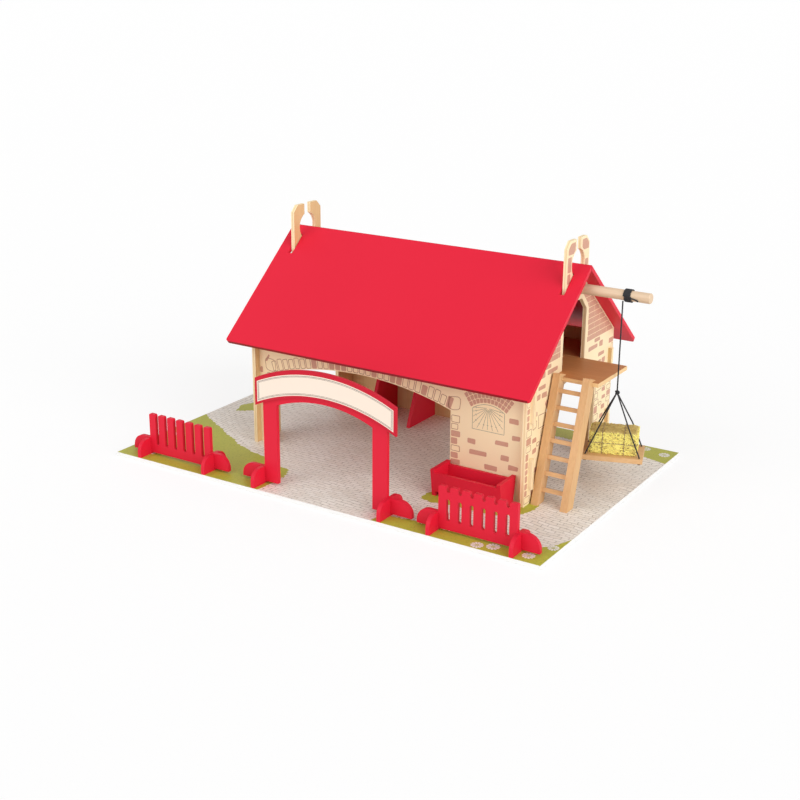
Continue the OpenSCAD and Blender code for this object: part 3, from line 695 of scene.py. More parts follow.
class TOYBARN_OT_wall_print(bpy.types.Operator):
    """Prints stones, bricks and the sundial on the front and back walls"""
    bl_idname = "toybarn.wall_print"
    bl_label = "Print the walls"

    def execute(self, context):
        width = context.scene.toy_barn_print.line_width / MM
        self.front(width)
        self.back(width)
        return {"FINISHED"}

    def front(self, width):
        dice = random.Random(11)
        face = PrintedFace(lambda a, b, h: Vector((a, WALL_FRONT - h, BASE_TOP + b)))
        self.opening(face, BARN_X - 39, 132.5, 30, width, dice)
        face.fill([(-167.4, 111.8), (-161.2, 121.4), (-159.1, 120), (-163.7, 111.9)], BRICK)
        bricks = (
            (190.5, 96.6, 13, 6.6), (195, 76.8, 10.5, 6), (135.5, 61.6, 11.3, 6.4), (173.3, 66.8, 17.8, 6.2),
            (139, 48.4, 23, 5.6), (181.4, 49.2, 10.6, 6.2), (191.2, 38.9, 13.2, 6), (160, 33, 17, 6.2),
            (136.5, 24, 15, 6), (178, 15, 16, 6.4), (150, 9, 18, 6), (196, 126, 11, 6), (122, 135, 18, 6),
            (150, 144, 16, 6), (187, 140, 19, 6), (-171, 132, 13, 6), (-175.3, 95, 4.6, 8.5),
            (-172, 46, 6, 6.4), (-60, 140, 19, 6), (-10, 148, 17, 6), (40, 139, 18, 6), (-110, 146, 16, 6),
            (86, 145, 15, 6), (-150, 146, 15, 6))
        for left, low, wide, tall in bricks:
            face.fill(brick_corners(left, low, wide, tall, dice, 0.6), BRICK)
        self.sundial(face, 163.3, 80.8, width, dice)
        finish_mesh("print_front_wall", face.mesh, print_inks(), "barn")

    def opening(self, face, middle, half, stones, width, dice):
        """Stones over a wide opening and beside it, with a big pale one at each side of the arch."""
        arch_stones(face, middle, half, 98, 21, 15, stones, dice, 0.3, width)
        big = (-4, 101), (-2, 115.5), (11.5, 117), (14, 113), (12.5, 100.5), (2, 98.5)
        for side in (-1, 1):
            edge = middle + side * half
            jamb_stones(face, edge, side, 3, 97, dice, 0.45, width)
            face.outline(soft_outline([(edge + side * a, b) for a, b in big], 3), width, OUTLINE)

    def sundial(self, face, middle, low, width, dice):
        """Sundial: a panel with a round head, hour lines and a brick arch over it."""
        half, side_top, head = 21.6, 107, 7.4
        radius, reach = flat_arc(half, head)
        centre = side_top + head - radius
        crown = [(middle + radius * math.sin(angle), centre + radius * math.cos(angle))
                 for angle in [reach - 2 * reach * k / 14 for k in range(15)]]
        panel = [(middle - half, low), (middle + half, low)] + crown
        face.outline(panel, width * 0.65, DIAL)
        root = (middle - 0.8, side_top + 3)
        for index in range(13):
            angle = math.radians(-84 + 14 * index)
            way = Vector((math.sin(angle), -math.cos(angle)))
            far = min(half * 0.92 / max(abs(way.x), 1e-3), (root[1] - low - 2.5) / max(-way.y, 1e-3))
            near = 3.5 if index % 2 else 2
            points = [tuple(Vector(root) + way * (near + (far - near) * k / 4)) for k in range(5)]
            face.stroke(points, width * 0.55, DIAL)
            mark = Vector(root) + way * (far * 0.8)
            across = Vector((-way.y, way.x))
            face.stroke([tuple(mark - across * 1.2), tuple(mark + across * 1.2)], width * 0.5, DIAL)
        for row, count in enumerate((11, 12, 13)):
            near = 2 + 6.1 * row
            step = 2.12 * reach / count
            for index in range(count):
                start = -1.06 * reach + index * step + 0.3 / radius
                stop = start + step - 0.6 / radius
                corners = []
                for angle, out in ((start, near), (stop, near), (stop, near + 5.5), (start, near + 5.5)):
                    lean = 0.85 * angle
                    corners.append((middle + radius * math.sin(angle) + out * math.sin(lean),
                                    centre + radius * math.cos(angle) + out * math.cos(lean)))
                face.fill(soft_outline(corners, 0.6), BRICK)

    def back(self, width):
        dice = random.Random(23)
        face = PrintedFace(lambda a, b, h: Vector((a, WALL_BACK + h, BASE_TOP + b)))
        middle, half = BARN_X + 71.5, 95
        self.opening(face, middle, half, 22, width, dice)

        def allowed(a, b):
            near_arch = abs(a - middle) < half + 17 and b < 141
            return not near_arch and ROOM_LEFT + 2 < a < ROOM_RIGHT - 2 and 3 < b < 157
        scattered_bricks(face, (ROOM_LEFT + 4, ROOM_RIGHT - 4), (5, 157, 6.2), 0.3, allowed, dice)
        finish_mesh("print_back_wall", face.mesh, print_inks(), "barn")


class TOYBARN_OT_gable_print(bpy.types.Operator):
    """Prints both gables: quoins, doorway stones, scattered bricks, the brick field and the horns"""
    bl_idname = "toybarn.gable_print"
    bl_label = "Print the gables"

    def execute(self, context):
        prints = context.scene.toy_barn_print
        width = prints.line_width / MM
        gap = prints.brick_gap / MM
        for name, plane, side, seed in (("print_gable_right", GABLE_RIGHT, 1, 31),
                                        ("print_gable_left", GABLE_LEFT, -1, 47)):
            face = PrintedFace(lambda a, b, h, x=plane, s=side:
                               Vector((x + s * h, RIDGE_Y + a, BASE_TOP + b)))
            self.print_gable(face, random.Random(seed), width, gap)
            finish_mesh(name, face.mesh, print_inks(), "barn")
        return {"FINISHED"}

    def print_gable(self, face, dice, width, gap):
        arch_stones(face, 0, DOORWAY_HALF, 107, 21, 11, 17, dice, 0.3, width)
        for turn in (-1, 1):
            jamb_stones(face, turn * DOORWAY_HALF, turn, 3, 88, dice, 0.4, width)
            self.quoins(face, turn, dice, width)
        both = ((73.5, 91.5, 136, 141), (85.5, 94.7, 125, 131.5), (69, 81.9, 124.5, 131), (75, 85, 149, 156),
                (91, 101.5, 61.3, 67.3), (92, 101, 9.5, 16.5), (92, 101, 106, 112), (43, 68.9, 150, 155),
                (88, 99, 36, 42), (92, 102, 74.5, 80), (60, 76, 157.5, 162.5))
        behind = ((91, 101, 85, 90.5), (88, 97.5, 50, 55.5), (92, 101, 24.5, 30))
        pale = ((70, 88.5, 89.5, 105.5), (83, 91, 67.8, 72.8), (92.5, 102, 91.5, 101))
        for turn, bricks in ((-1, both), (1, both + behind)):
            for run in bricks:
                face.fill(self.side_brick(turn, run, dice, 0.5), BRICK)
            for run in pale:
                face.outline(self.side_brick(turn, run, dice, 0.8), width, OUTLINE)
        self.brick_field(face, dice, gap)
        self.horns(face)

    def side_brick(self, turn, run, dice, slack):
        """Brick given by its distances from the middle, its foot and its top."""
        near, far, low, high = run
        return brick_corners(near if turn > 0 else -far, low, far - near, high - low, dice, slack)

    def quoins(self, face, turn, dice, width):
        """Column of stones up a gable's edge, narrow beside the walls' tabs."""
        half, level = 118.5, 3
        while level < 150:
            tall = dice.uniform(6, 9)
            beside_tab = level < 61 and level + tall > 17 or level < 143 and level + tall > 99
            wide = dice.uniform(5.4, 6.6) if beside_tab else dice.uniform(10, 14)
            left = half - 1 - wide if turn > 0 else 1 - half
            draw_stone(face, brick_corners(left, level, wide, tall, dice, 0.25), dice, 0.5, width * 0.8)
            level += tall + 1.4

    def horns(self, face):
        """Brick patches on the two horns."""
        crown = ((9.5, 297), (21, 297), (27.5, 290.5), (27.5, 283.8), (14, 283.8), (9.5, 287.5))
        both = (-1, ((19, 28.3, 263, 281), (20.5, 28.3, 249.5, 261))), (1, ((19, 27, 264, 272),))
        for turn, patches in both:
            face.fill(soft_outline([(turn * a, b) for a, b in crown], 1), BRICK)
            for near, far, low, high in patches:
                corners = [(turn * near, low), (turn * far, low), (turn * far, high), (turn * near, high)]
                face.fill(soft_outline(corners, 1), BRICK)

    def brick_field(self, face, dice, gap):
        """Running bond under the roof, round the loft opening's frame, the dowel and the keyhole."""
        slope = math.tan(ROOF_ANGLE)
        top = 270 - 5.3 / math.cos(ROOF_ANGLE)
        tall, wide, level, index = 6.6, 17, 164, 0
        while level < 250:
            ends = (level, min(level + tall, 252))
            limits = [min((top - z) / slope - 2.5, 114) for z in ends]
            clears = [self.clear_half(z) for z in ends]
            if level < 248 and ends[1] > 233:
                clears = [8, 8]
            place = -limits[0] - (wide / 2 if index % 2 else 0)
            while place < limits[0]:
                length = wide * dice.uniform(0.9, 1.1)
                for turn in ((0,) if max(clears) == 0 else (-1, 1)):
                    self.field_brick(face, (place, place + length - gap), ends, limits, clears, turn)
                place += length
            level += tall + gap
            index += 1

    def clear_half(self, z):
        """Half of the width that the loft opening's frame keeps clear at a height."""
        return 0 if z >= LOFT_HEAD else max(0, LOFT_CLEAR - max(0, z - LOFT_SHOULDER))

    def field_brick(self, face, run, ends, limits, clears, turn):
        """One brick, cut by the roof's line and by what it stands beside."""
        rows = []
        for z, limit, clear in zip(ends, limits, clears):
            low, high = sorted((turn * clear, turn * limit)) if turn else (-limit, limit)
            left = min(max(run[0], low), high)
            rows.append(((left, z), (max(left, min(run[1], high)), z)))
        widths = [right[0] - left[0] for left, right in rows]
        if max(widths) < 1.5:
            return
        corners = [rows[0][0], rows[0][1], rows[1][1], rows[1][0]]
        if min(widths) < 0.6:
            corners = corners[:3] if widths[0] > widths[1] else corners[1:]
        face.fill(corners, BRICK)


class TOYBARN_OT_ground_print(bpy.types.Operator):
    """Prints the grass with its wavy edge and the daisies on the base board"""
    bl_idname = "toybarn.ground_print"
    bl_label = "Print the ground"

    def execute(self, context):
        prints = context.scene.toy_barn_print
        dice = random.Random(5)
        face = PrintedFace(lambda a, b, h: Vector((BASE_LOW.x + a, BASE_LOW.y + b, BASE_TOP + h)))
        long, deep = BASE_HIGH.x - BASE_LOW.x, BASE_HIGH.y - BASE_LOW.y
        edge = 0.4
        patches = (
            ([(edge, edge), (229, edge)], [(231, 14), (234, 30), (232, 52), (223, 72), (196, 80), (170, 92),
                                           (140, 99), (113, 108), (96, 121), (74, 131), (50, 147), (19, 164),
                                           (edge, 176)]),
            ([(393, edge), (long - edge, edge), (long - edge, 78)],
             [(603, 62), (593, 46), (583, 36), (572, 29), (530, 31), (480, 26), (435, 27), (405, 24),
              (395, 12)]),
            ([], [(407, 86), (424, 82), (450, 88), (490, 86), (516, 96), (532, 112), (538, 130), (534, 150),
                  (528, 158), (519, 150), (505, 141), (470, 139), (430, 140), (412, 128), (405, 104)]),
            ([(long - edge, 352), (long - edge, deep - edge), (edge, deep - edge), (edge, 340)],
             [(30, 349), (64, 356), (100, 362), (150, 367), (210, 365), (280, 368), (350, 366), (420, 368),
              (480, 365), (540, 367), (570, 362), (592, 357)]),
            ([], [(edge + 26, 210), (47, 224), (52, 246), (40, 262), (25, 255), (17, 232)]),
        )
        for straight, wavy in patches:
            face.fill(straight + self.tufts(wavy, bool(straight), dice), 0)
        finish_mesh("print_grass", face.mesh, [grass_material(prints.grass)], "barn")
        face = PrintedFace(face.place)
        for across, back, size in ((528, 9, 6.2), (545, 15, 6.6), (588, 16, 6.2), (602, 48, 5.6),
                                   (597, 381, 6), (569, 389, 5), (38, 24, 6), (130, 50, 5.8),
                                   (22, 96, 6), (60, 384, 6), (200, 388, 5.4),
                                   (330, 383, 6), (470, 390, 5.6), (16, 368, 5.2)):
            self.daisy(face, across, back, size, dice)
        inks = [ink_material("petal ink", prints.petal, 0.2), ink_material("daisy line ink", tone("9A9C74")),
                ink_material("daisy middle ink", tone("C6C88C"))]
        finish_mesh("print_daisies", face.mesh, inks, "barn")
        return {"FINISHED"}

    def tufts(self, points, open_ends, dice):
        """Wavy edge of a grass patch."""
        made = points[:1] if open_ends else []
        run = points if open_ends else points + points[:1]
        for first, second in zip(run, run[1:]):
            start, stop = Vector(first), Vector(second)
            steps = max(2, int((stop - start).length / 3))
            way = (stop - start).normalized()
            side = Vector((-way.y, way.x))
            for index in range(1, steps):
                push = dice.uniform(-1.5, 1.5) + 1.2 * (index % 2)
                made.append(tuple(start + (stop - start) * index / steps + side * push))
            made.append(second)
        return made

    def daisy(self, face, across, back, size, dice):
        turn = dice.uniform(0, 6)
        size *= 1.25
        petals = 11
        for index in range(petals):
            angle = turn + index * 2 * math.pi / petals
            way = Vector((math.cos(angle), math.sin(angle)))
            side = Vector((-way.y, way.x))
            near, far, half = size * 0.3, size, size * 0.24
            shape = [tuple(Vector((across, back)) + way * r + side * s) for r, s in
                     ((near, -half * 0.4), (far * 0.66, -half), (far * 0.92, -half * 0.7), (far, 0),
                      (far * 0.92, half * 0.7), (far * 0.66, half), (near, half * 0.4))]
            face.fill(shape, 0, PRINT_LIFT + 0.05)
            face.stroke(shape[:4], 0.35, 1, PRINT_LIFT + 0.09)
        ring = [(across + size * 0.27 * math.cos(a), back + size * 0.27 * math.sin(a))
                for a in [k * math.pi / 5 for k in range(10)]]
        face.fill(ring, 2, PRINT_LIFT + 0.12)


class TOYBARN_OT_sign_panel(bpy.types.Operator):
    """Lays the bare cream panel with its double line on the red sign board"""
    bl_idname = "toybarn.sign_panel"
    bl_label = "Lay the sign's panel"

    def execute(self, context):
        low, high = box_mm("gate_sign")
        middle, half = (low.x + high.x) / 2, (high.x - low.x) / 2
        rise, tall = 23, 34.5
        foot = low.z - BASE_TOP
        radius = flat_arc(half, rise)[0]

        def arc(across):
            return foot + rise - radius + math.sqrt(radius ** 2 - across ** 2)

        def band(step):
            ends = half - step
            columns = [-ends + 2 * ends * k / 40 for k in range(41)]
            under = [(middle + a, arc(a) + step) for a in columns]
            over = [(middle + a, arc(a) + tall - step - 1.8) for a in reversed(columns)]
            return under + over
        face = PrintedFace(lambda a, b, h: Vector((a, low.y - h, BASE_TOP + b)))
        face.fill(band(3.4), 0)
        for step, width in ((4.7, 0.6), (6.1, 0.35)):
            face.band(band(step), band(step + width), 1, True, PRINT_LIFT + 0.06)
        cream = context.scene.toy_barn_print.sign_cream
        inks = [ink_material("sign cream", cream, 0.2), ink_material("sign line", tone("5E4A42"))]
        finish_mesh("sign_panel", face.mesh, inks, "barn")
        return {"FINISHED"}


def tube_rings(path, radius, sides, strands=0, twist=0.0, wave=0.0):
    """Rings of points round a path in millimetres; strands twist round it."""
    rings = []
    across = None
    run = 0.0
    for index, point in enumerate(path):
        here = Vector(point)
        way = (Vector(path[min(index + 1, len(path) - 1)]) - Vector(path[max(index - 1, 0)])).normalized()
        if index:
            run += (here - Vector(path[index - 1])).length
        if across is None:
            across = way.orthogonal().normalized()
        across = (across - way * across.dot(way)).normalized()
        other = way.cross(across)
        ring = []
        for k in range(sides):
            angle = 2 * math.pi * k / sides
            reach = radius
            if strands:
                reach = radius * (1 - wave + wave * math.cos(strands * angle + twist * run))
            ring.append(here + reach * (math.cos(angle) * across + math.sin(angle) * other))
        rings.append(ring)
    return rings


def add_tube(mesh, path, radius, sides=10, strands=0, twist=0.0, wave=0.0, slot=0):
    """Closed tube along a path in millimetres."""
    rings = [[mesh.verts.new(p * MM) for p in ring]
             for ring in tube_rings(path, radius, sides, strands, twist, wave)]
    for first, second in zip(rings, rings[1:]):
        for k in range(sides):
            after = (k + 1) % sides
            mesh.faces.new((first[k], first[after], second[after], second[k])).material_index = slot
    mesh.faces.new(list(reversed(rings[0]))).material_index = slot
    mesh.faces.new(rings[-1]).material_index = slot


def smooth_path(points, step):
    """Rounded path through a few points, sampled every step."""
    fine = []
    count = len(points)
    for index in range(count - 1):
        p0, p1, p2, p3 = (Vector(points[max(0, min(count - 1, index + k))]) for k in (-1, 0, 1, 2))
        pieces = max(1, int((p2 - p1).length / step))
        for k in range(pieces):
            t = k / pieces
            fine.append(0.5 * (2 * p1 + (p2 - p0) * t + (2 * p0 - 5 * p1 + 4 * p2 - p3) * t ** 2
                               + (3 * p1 - p0 - 3 * p2 + p3) * t ** 3))
    fine.append(Vector(points[-1]))
    return fine


def straight_path(points, step, least):
    """Path through a few points in straight runs, sampled about every step."""
    fine = []
    for first, second in zip(points, points[1:]):
        start, stop = Vector(first), Vector(second)
        pieces = max(least, int((stop - start).length / step))
        fine += [start + (stop - start) * k / pieces for k in range(pieces)]
    return fine + [Vector(points[-1])]


class TOYBARN_OT_hoist_cords(bpy.types.Operator):
    """Makes the twisted hanging cord, its turns on the dowel, the knots and the four slings"""
    bl_idname = "toybarn.hoist_cords"
    bl_label = "Make the hoist's cords"

    def execute(self, context):
        hoist = context.scene.toy_barn_hoist
        black = cord_material(hoist.cord_black)
        width = hoist.cord_width / MM
        low, high = box_mm("hoist_cord_drop")
        hang = Vector(((low.x + high.x) / 2, (low.y + high.y) / 2, 0))
        self.hanging(hang, low.z, high.z, width, black)
        self.winding(hang, width, black)
        self.slings(hang, width, black)
        return {"FINISHED"}

    def hanging(self, hang, foot, top, width, black):
        mesh = bmesh.new()
        count = 150
        path = [hang + Vector((0, 0, top + (foot - top) * k / count)) for k in range(count + 1)]
        add_tube(mesh, path, width / 2, 12, 3, 1.5, 0.05)
        piece = finish_mesh("hanging_cord", mesh, [black], None, True)
        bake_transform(piece)
        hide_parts("hoist_cord_drop")

    def winding(self, hang, width, black):
        low, high = box_mm("hoist_winding")
        beam, beam_high = box_mm("hoist_beam")
        axis = Vector((0, (beam.y + beam_high.y) / 2, (beam.z + beam_high.z) / 2))
        beam_r = (beam_high.z - beam.z) / 2
        start = low.x + width / 2
        wrap = []
        reach = beam_r + width / 2 + 0.05
        count = CORD_TURNS * 28
        for k in range(count + 1):
            angle = 2 * math.pi * k / 28
            along = start + (CORD_TURNS - 1) * width * k / count + width * 0.04 * math.sin(k * 0.9)
            wrap.append(Vector((along, axis.y - reach * math.cos(angle), axis.z + reach * math.sin(angle))))
        mesh = bmesh.new()
        add_tube(mesh, wrap, width / 2, 8, 3, 1.5, 0.08)
        tail_end = high.x - 0.6
        side = axis.y - reach
        lap = [Vector((start + 5 * width, side - width * 0.3, axis.z - 1.2)),
               Vector((tail_end - 3, side + 0.35, axis.z - 2.6)),
               Vector((tail_end, side + 1.0, axis.z - 4.2))]
        lap = [Vector((p.x, max(p.y, low.y + width / 2), p.z)) for p in lap]
        add_tube(mesh, smooth_path(lap, 0.6), width / 2, 8, 3, 1.5, 0.08)
        piece = finish_mesh("wound_cord", mesh, [black], "hoist_roller", True)
        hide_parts("hoist_winding")

    def slings(self, hang, width, black):
        low, high = box_mm("hoist_slings")
        tray_low, tray_high = box_mm("hoist_tray")
        bale_top = box_mm("hay_bale")[1].z
        knot_r = 3
        knot = hang + Vector((0, 0, high.z - knot_r))
        bend = Vector((0, 18 + width / 2 + 0.3, bale_top + width / 2 + 0.6))
        upper = math.hypot(bend.y, knot.z - bend.z)
        bend.x = TRAY_HOLE.x * upper / (upper + math.hypot(TRAY_HOLE.y - bend.y, bend.z - tray_high.z))
        for index, (side_x, side_y) in enumerate(((-1, -1), (1, -1), (1, 1), (-1, 1))):
            hole = Vector((side_x * TRAY_HOLE.x, side_y * TRAY_HOLE.y, 0))
            points = [(0, 0, knot.z), (side_x * bend.x, side_y * bend.y, bend.z),
                      (hole.x, hole.y, tray_high.z + 0.3), (hole.x, hole.y, tray_low.z - 0.1)]
            route = [hang + LOAD_TURN @ Vector((p.x, p.y, 0)) + Vector((0, 0, p.z))
                     for p in straight_path(points, 0.8, 2)]
            mesh = bmesh.new()
            add_tube(mesh, route, width / 2, 10, 3, 1.5, 0.05)
            end = hang + LOAD_TURN @ hole
            self.knot(mesh, Vector((end.x, end.y, low.z + width * 0.72)), width * 0.72, 0.42 * width)
            piece = finish_mesh("sling_%d" % (index + 1), mesh, [black], "hoist_load", True)
            if index == 0:
                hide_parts("hoist_slings")
        mesh = bmesh.new()
        self.knot(mesh, knot, knot_r - width * 0.52, width * 0.56)
        self.knot(mesh, knot - Vector((0, 0, 1.3)), knot_r * 0.45, width * 0.5)
        add_tube(mesh, [knot - Vector((0, 0, 2)), knot + Vector((0, 0, knot_r))], width * 0.56, 12)
        finish_mesh("sling_knot", mesh, [black], "hoist_load", True)

    def knot(self, mesh, middle, ring, thick):
        """Small overhand knot: a trefoil loop."""
        points = []
        for k in range(49):
            t = 2 * math.pi * k / 48
            points.append(middle + ring * 0.36 * Vector((math.sin(t) + 2 * math.sin(2 * t),
                                                         math.cos(t) - 2 * math.cos(2 * t),
                                                         -1.6 * math.sin(3 * t))))
        add_tube(mesh, points, thick, 8)


class TOYBARN_OT_hay_bale(bpy.types.Operator):
    """Makes the pressed straw bale with its twine"""
    bl_idname = "toybarn.hay_bale"
    bl_label = "Make the bale"

    def execute(self, context):
        hoist = context.scene.toy_barn_hoist
        low, high = box_mm("hay_bale")
        middle = (low + high) / 2
        self.middle = Vector((middle.x, middle.y, low.z))
        self.size = Vector((58, 36, high.z - low.z))
        dice = random.Random(77)
        materials = [straw_material("straw side", hoist.straw_yellow, 0.45),
                     straw_material("straw top", hoist.straw_beige, 0.3),
                     straw_material("straw stalk", scaled(hoist.straw_yellow, 1.25), 0.2),
                     ink_material("twine", tone("8A6840"), 0.9)]
        mesh = bmesh.new()
        self.core(mesh, dice)
        self.stalks(mesh, dice, hoist.strands)
        self.twine(mesh)
        piece = finish_mesh("straw_bale", mesh, materials, "hoist_load")
        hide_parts("hay_bale")
        return {"FINISHED"}

    def at(self, x, y, z):
        """Place on the bale in millimetres to a point of the scene."""
        return (self.middle + LOAD_TURN @ Vector((x, y, z))) * MM

    def core(self, mesh, dice):
        """Rough block whose faces bulge a little between the twines."""
        half_x, half_y, tall = self.size.x / 2 - 0.8, self.size.y / 2 - 0.8, self.size.z - 0.8
        counts = (30, 20, 15)
        made = {}

        def corner(i, j, k):
            key = (i, j, k)
            if key not in made:
                u, v, w = (2 * n / c - 1 for n, c in zip(key, counts))
                ends = [abs(abs(t) - 1) < 1e-6 for t in (u, v, w)]
                x, y, z = u * half_x, v * half_y, (w + 1) / 2 * tall
                pinch = math.exp(-((abs(u) - 0.45) / 0.07) ** 2) * 0.9
                if sum(ends) > 1:
                    x, y = x - math.copysign(1.1, u) * ends[0], y - math.copysign(1.1, v) * ends[1]
                    z -= 0.9 if ends[2] and w > 0 else 0
                else:
                    rough = dice.uniform(-0.55, 0.45)
                    x += rough * ends[0] * (1 if u > 0 else -1)
                    y += (rough - pinch) * ends[1] * (1 if v > 0 else -1)
                    if ends[2] and w > 0:
                        z += rough - pinch
                made[key] = mesh.verts.new(self.at(x, y, max(0.05, z)))
            return made[key]
        for fixed in range(3):
            first, second = [n for n in range(3) if n != fixed]
            for end in (0, counts[fixed]):
                for i in range(counts[first]):
                    for j in range(counts[second]):
                        ring = []
                        for di, dj in ((0, 0), (1, 0), (1, 1), (0, 1)):
                            key = [0, 0, 0]
                            key[fixed], key[first], key[second] = end, i + di, j + dj
                            ring.append(corner(*key))
                        slot = 1 if fixed == 2 and end else 0
                        mesh.faces.new(ring).material_index = slot

    def stalks(self, mesh, dice, count):
        """Short flat stalks pressed into the faces."""
        half_x, half_y, tall = self.size.x / 2 - 0.5, self.size.y / 2 - 0.5, self.size.z - 0.5
        for _ in range(count):
            kind = dice.choices(("side", "end", "top"), (0.5, 0.28, 0.22))[0]
            length, width = dice.uniform(2.5, 8), dice.uniform(0.45, 0.9)
            angle = dice.gauss(0, 0.7)
            sign = dice.choice((-1, 1))
            a = dice.uniform(-1, 1)
            b = dice.uniform(0.04, 0.96)
            if kind == "side":
                origin = Vector((a * (half_x - length / 2), sign * half_y, b * tall))
                way, face = Vector((1, 0, 0)), Vector((0, sign, 0))
            elif kind == "end":
                origin = Vector((sign * half_x, a * (half_y - length / 2), b * tall))
                way, face = Vector((0, 1, 0)), Vector((sign, 0, 0))
            else:
                origin = Vector((a * (half_x - length / 2), (2 * b - 1) * (half_y - length / 2), tall))
                way, face = Vector((1, 0, 0)), Vector((0, 0, 1))
            across = face.cross(way)
            run = way * math.cos(angle) + across * math.sin(angle)
            over = face.cross(run) * width / 2
            ends = [origin - run * length / 2, origin + run * length / 2]
            for end in ends:
                end.z = max(0.5, min(tall, end.z))
                end.x = max(-half_x, min(half_x, end.x))
                end.y = max(-half_y, min(half_y, end.y))
            lift = face * dice.uniform(0.05, 0.42)
            corners = [ends[0] - over, ends[1] - over, ends[1] + over, ends[0] + over]
            top = [mesh.verts.new(self.at(*(p + lift))) for p in corners]
            foot = [mesh.verts.new(self.at(*(p - face * 0.5))) for p in corners]
            slot = 1 if kind == "top" else 2
            mesh.faces.new(top).material_index = slot
            mesh.faces.new(list(reversed(foot))).material_index = slot
            for k in range(4):
                after = (k + 1) % 4
                mesh.faces.new((top[k], foot[k], foot[after], top[after])).material_index = slot

    def twine(self, mesh):
        """Two upright bands and one level band of twine."""
        half_x, half_y, tall = self.size.x / 2 - 0.45, self.size.y / 2 - 0.45, self.size.z - 0.5
        routes = [[(across, -half_y, 0.5), (across, -half_y, tall), (across, half_y, tall),
                   (across, half_y, 0.5)] for across in (-0.45 * half_x, 0.45 * half_x)]
        routes.append([(-half_x, -half_y, tall / 2), (half_x, -half_y, tall / 2), (half_x, half_y, tall / 2),
                       (-half_x, half_y, tall / 2), (-half_x, -half_y, tall / 2)])
        for route in routes:
            path = [self.at(*p) / MM for p in straight_path(route, 1.5, 4)]
            add_tube(mesh, path, 0.45, 6, slot=3)


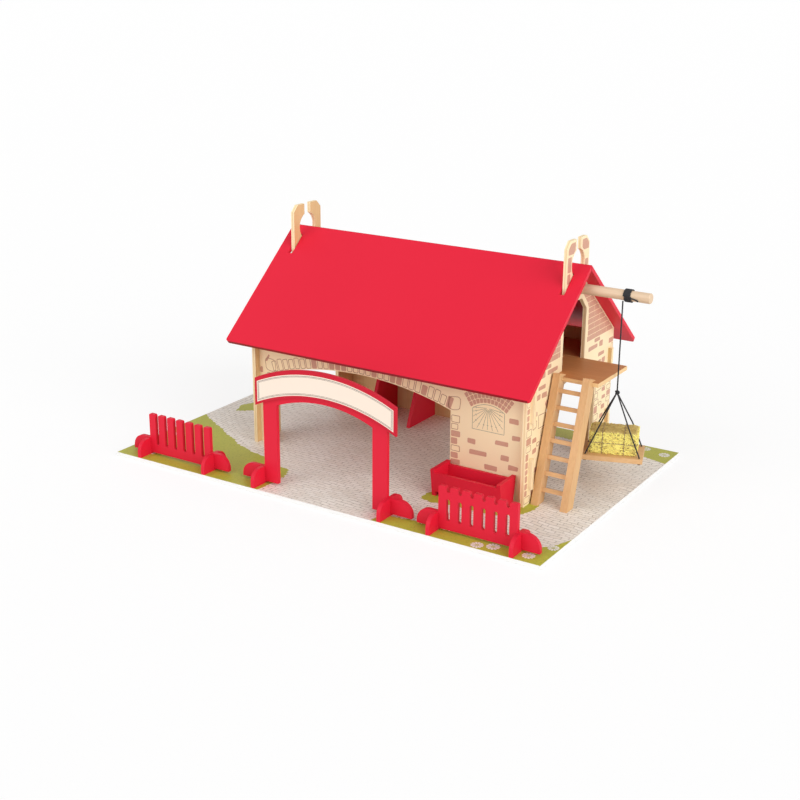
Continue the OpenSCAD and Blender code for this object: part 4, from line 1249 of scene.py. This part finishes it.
class TOYBARN_OT_stage(bpy.types.Operator):
    """Sets the pale floor, the soft light and the camera"""
    bl_idname = "toybarn.stage"
    bl_label = "Set the stage"

    def execute(self, context):
        stage = context.scene.toy_barn_stage
        self.floor(stage)
        self.light(context, stage)
        self.camera(context, stage)
        return {"FINISHED"}

    def seen_or_lit(self, tree, lit, seen, share=1.0):
        """Shader that changes where the camera, a reflection or a refraction looks at it."""
        path = tree.nodes.new("ShaderNodeLightPath").outputs
        direct = calculate(tree, "MAXIMUM", path["Is Camera Ray"], path["Is Glossy Ray"])
        direct = calculate(tree, "MAXIMUM", direct, path["Is Transmission Ray"])
        mixed = add(tree, "ShaderNodeMixShader", {0: times(tree, direct, share), 1: lit, 2: seen})
        return mixed.outputs[0]

    def floor(self, stage):
        mesh = bmesh.new()
        bmesh.ops.create_circle(mesh, cap_ends=True, segments=96, radius=30)
        data = bpy.data.meshes.new("studio_floor")
        mesh.to_mesh(data)
        mesh.free()
        floor = new_object("studio_floor", data)
        floor.location = (0, 0, -0.0004)
        material, tree, skin = blank_material("pale floor")
        put(tree, stage.floor, skin["Base Color"])
        skin["Roughness"].default_value = 0.9
        glow = add(tree, "ShaderNodeEmission", {"Color": (1, 1, 1, 1), "Strength": 1.05})
        shade = skin["Roughness"].node.outputs[0]
        end = shade.links[0].to_socket
        put(tree, self.seen_or_lit(tree, shade, glow.outputs[0], 0.7), end)
        data.materials.append(material)

    def light(self, context, stage):
        world = bpy.data.worlds.new("soft studio")
        context.scene.world = world
        world.use_nodes = True
        tree = world.node_tree
        tree.nodes.clear()
        soft = add(tree, "ShaderNodeBackground", {"Color": (1, 1, 1, 1), "Strength": stage.sky_level})
        white = add(tree, "ShaderNodeBackground", {"Color": (1, 1, 1, 1), "Strength": 1.0})
        add(tree, "ShaderNodeOutputWorld", {
            "Surface": self.seen_or_lit(tree, soft.outputs[0], white.outputs[0])})
        for name, way, power in (("front_sun", (-0.35, -0.85, 0.45), stage.key_level),
                                 ("side_sun", (0.9, -0.3, 0.45), stage.side_level)):
            lamp = bpy.data.lights.new(name, "SUN")
            lamp.angle = math.radians(50)
            lamp.energy = power
            made = new_object(name, lamp)
            made.location = Vector(way) * 2
            made.rotation_euler = Vector(way).to_track_quat("Z", "Y").to_euler()

    def camera(self, context, stage):
        yaw, pitch, roll = CAMERA_YAW, CAMERA_PITCH, CAMERA_ROLL
        way = Vector((-math.sin(yaw) * math.cos(pitch), math.cos(yaw) * math.cos(pitch), -math.sin(pitch)))
        right = Vector((math.cos(yaw), math.sin(yaw), 0))
        up = right.cross(way)
        level = math.cos(roll) * right + math.sin(roll) * up
        upright = -math.sin(roll) * right + math.cos(roll) * up
        camera = bpy.data.cameras.new("front_right_camera")
        camera.lens = stage.lens
        camera.sensor_width = 36
        camera.sensor_fit = "HORIZONTAL"
        camera.clip_start = 0.01
        made = new_object("front_right_camera", camera)
        turn = Matrix((level, upright, -way)).transposed().to_4x4()
        made.matrix_world = Matrix.Translation(CAMERA_PLACE) @ turn
        context.scene.camera = made
        context.scene.view_settings.view_transform = "Standard"


class TOYBARN_PT_panel(bpy.types.Panel):
    """Sizes, colours and steps of the toy barn's looks"""
    bl_idname = "TOYBARN_PT_panel"
    bl_label = "Toy barn"
    bl_space_type = "VIEW_3D"
    bl_region_type = "UI"
    bl_category = "Toy barn"

    def draw(self, context):
        scene = context.scene
        for group in (scene.toy_barn_paint, scene.toy_barn_print, scene.toy_barn_hoist,
                      scene.toy_barn_stage):
            box = self.layout.box()
            for name in group.__annotations__:
                box.prop(group, name)
        for step in STEPS:
            self.layout.operator(step.bl_idname)


STEPS = (TOYBARN_OT_stage, TOYBARN_OT_hoist_cords, TOYBARN_OT_boards, TOYBARN_OT_wall_print,
         TOYBARN_OT_gable_print, TOYBARN_OT_ground_print, TOYBARN_OT_sign_panel, TOYBARN_OT_hay_bale)
GROUPS = {"toy_barn_paint": ToyBarnPaint, "toy_barn_print": ToyBarnPrint,
          "toy_barn_hoist": ToyBarnHoist, "toy_barn_stage": ToyBarnStage}


def register():
    for name, group in GROUPS.items():
        bpy.utils.register_class(group)
        setattr(bpy.types.Scene, name, bpy.props.PointerProperty(type=group))
    for step in (*STEPS, TOYBARN_PT_panel):
        bpy.utils.register_class(step)


def unregister():
    for step in reversed((*STEPS, TOYBARN_PT_panel)):
        bpy.utils.unregister_class(step)
    for name, group in GROUPS.items():
        delattr(bpy.types.Scene, name)
        bpy.utils.unregister_class(group)


def plain(bounds):
    return [[float(number) for number in corner] for corner in bounds]


def main():
    register()
    bpy.ops.toybarn.stage()
    bpy.ops.toybarn.hoist_cords()
    bpy.ops.toybarn.boards()
    bpy.ops.toybarn.wall_print()
    bpy.ops.toybarn.gable_print()
    bpy.ops.toybarn.ground_print()
    bpy.ops.toybarn.sign_panel()
    bpy.ops.toybarn.hay_bale()


if __name__ == "__main__":
    main()
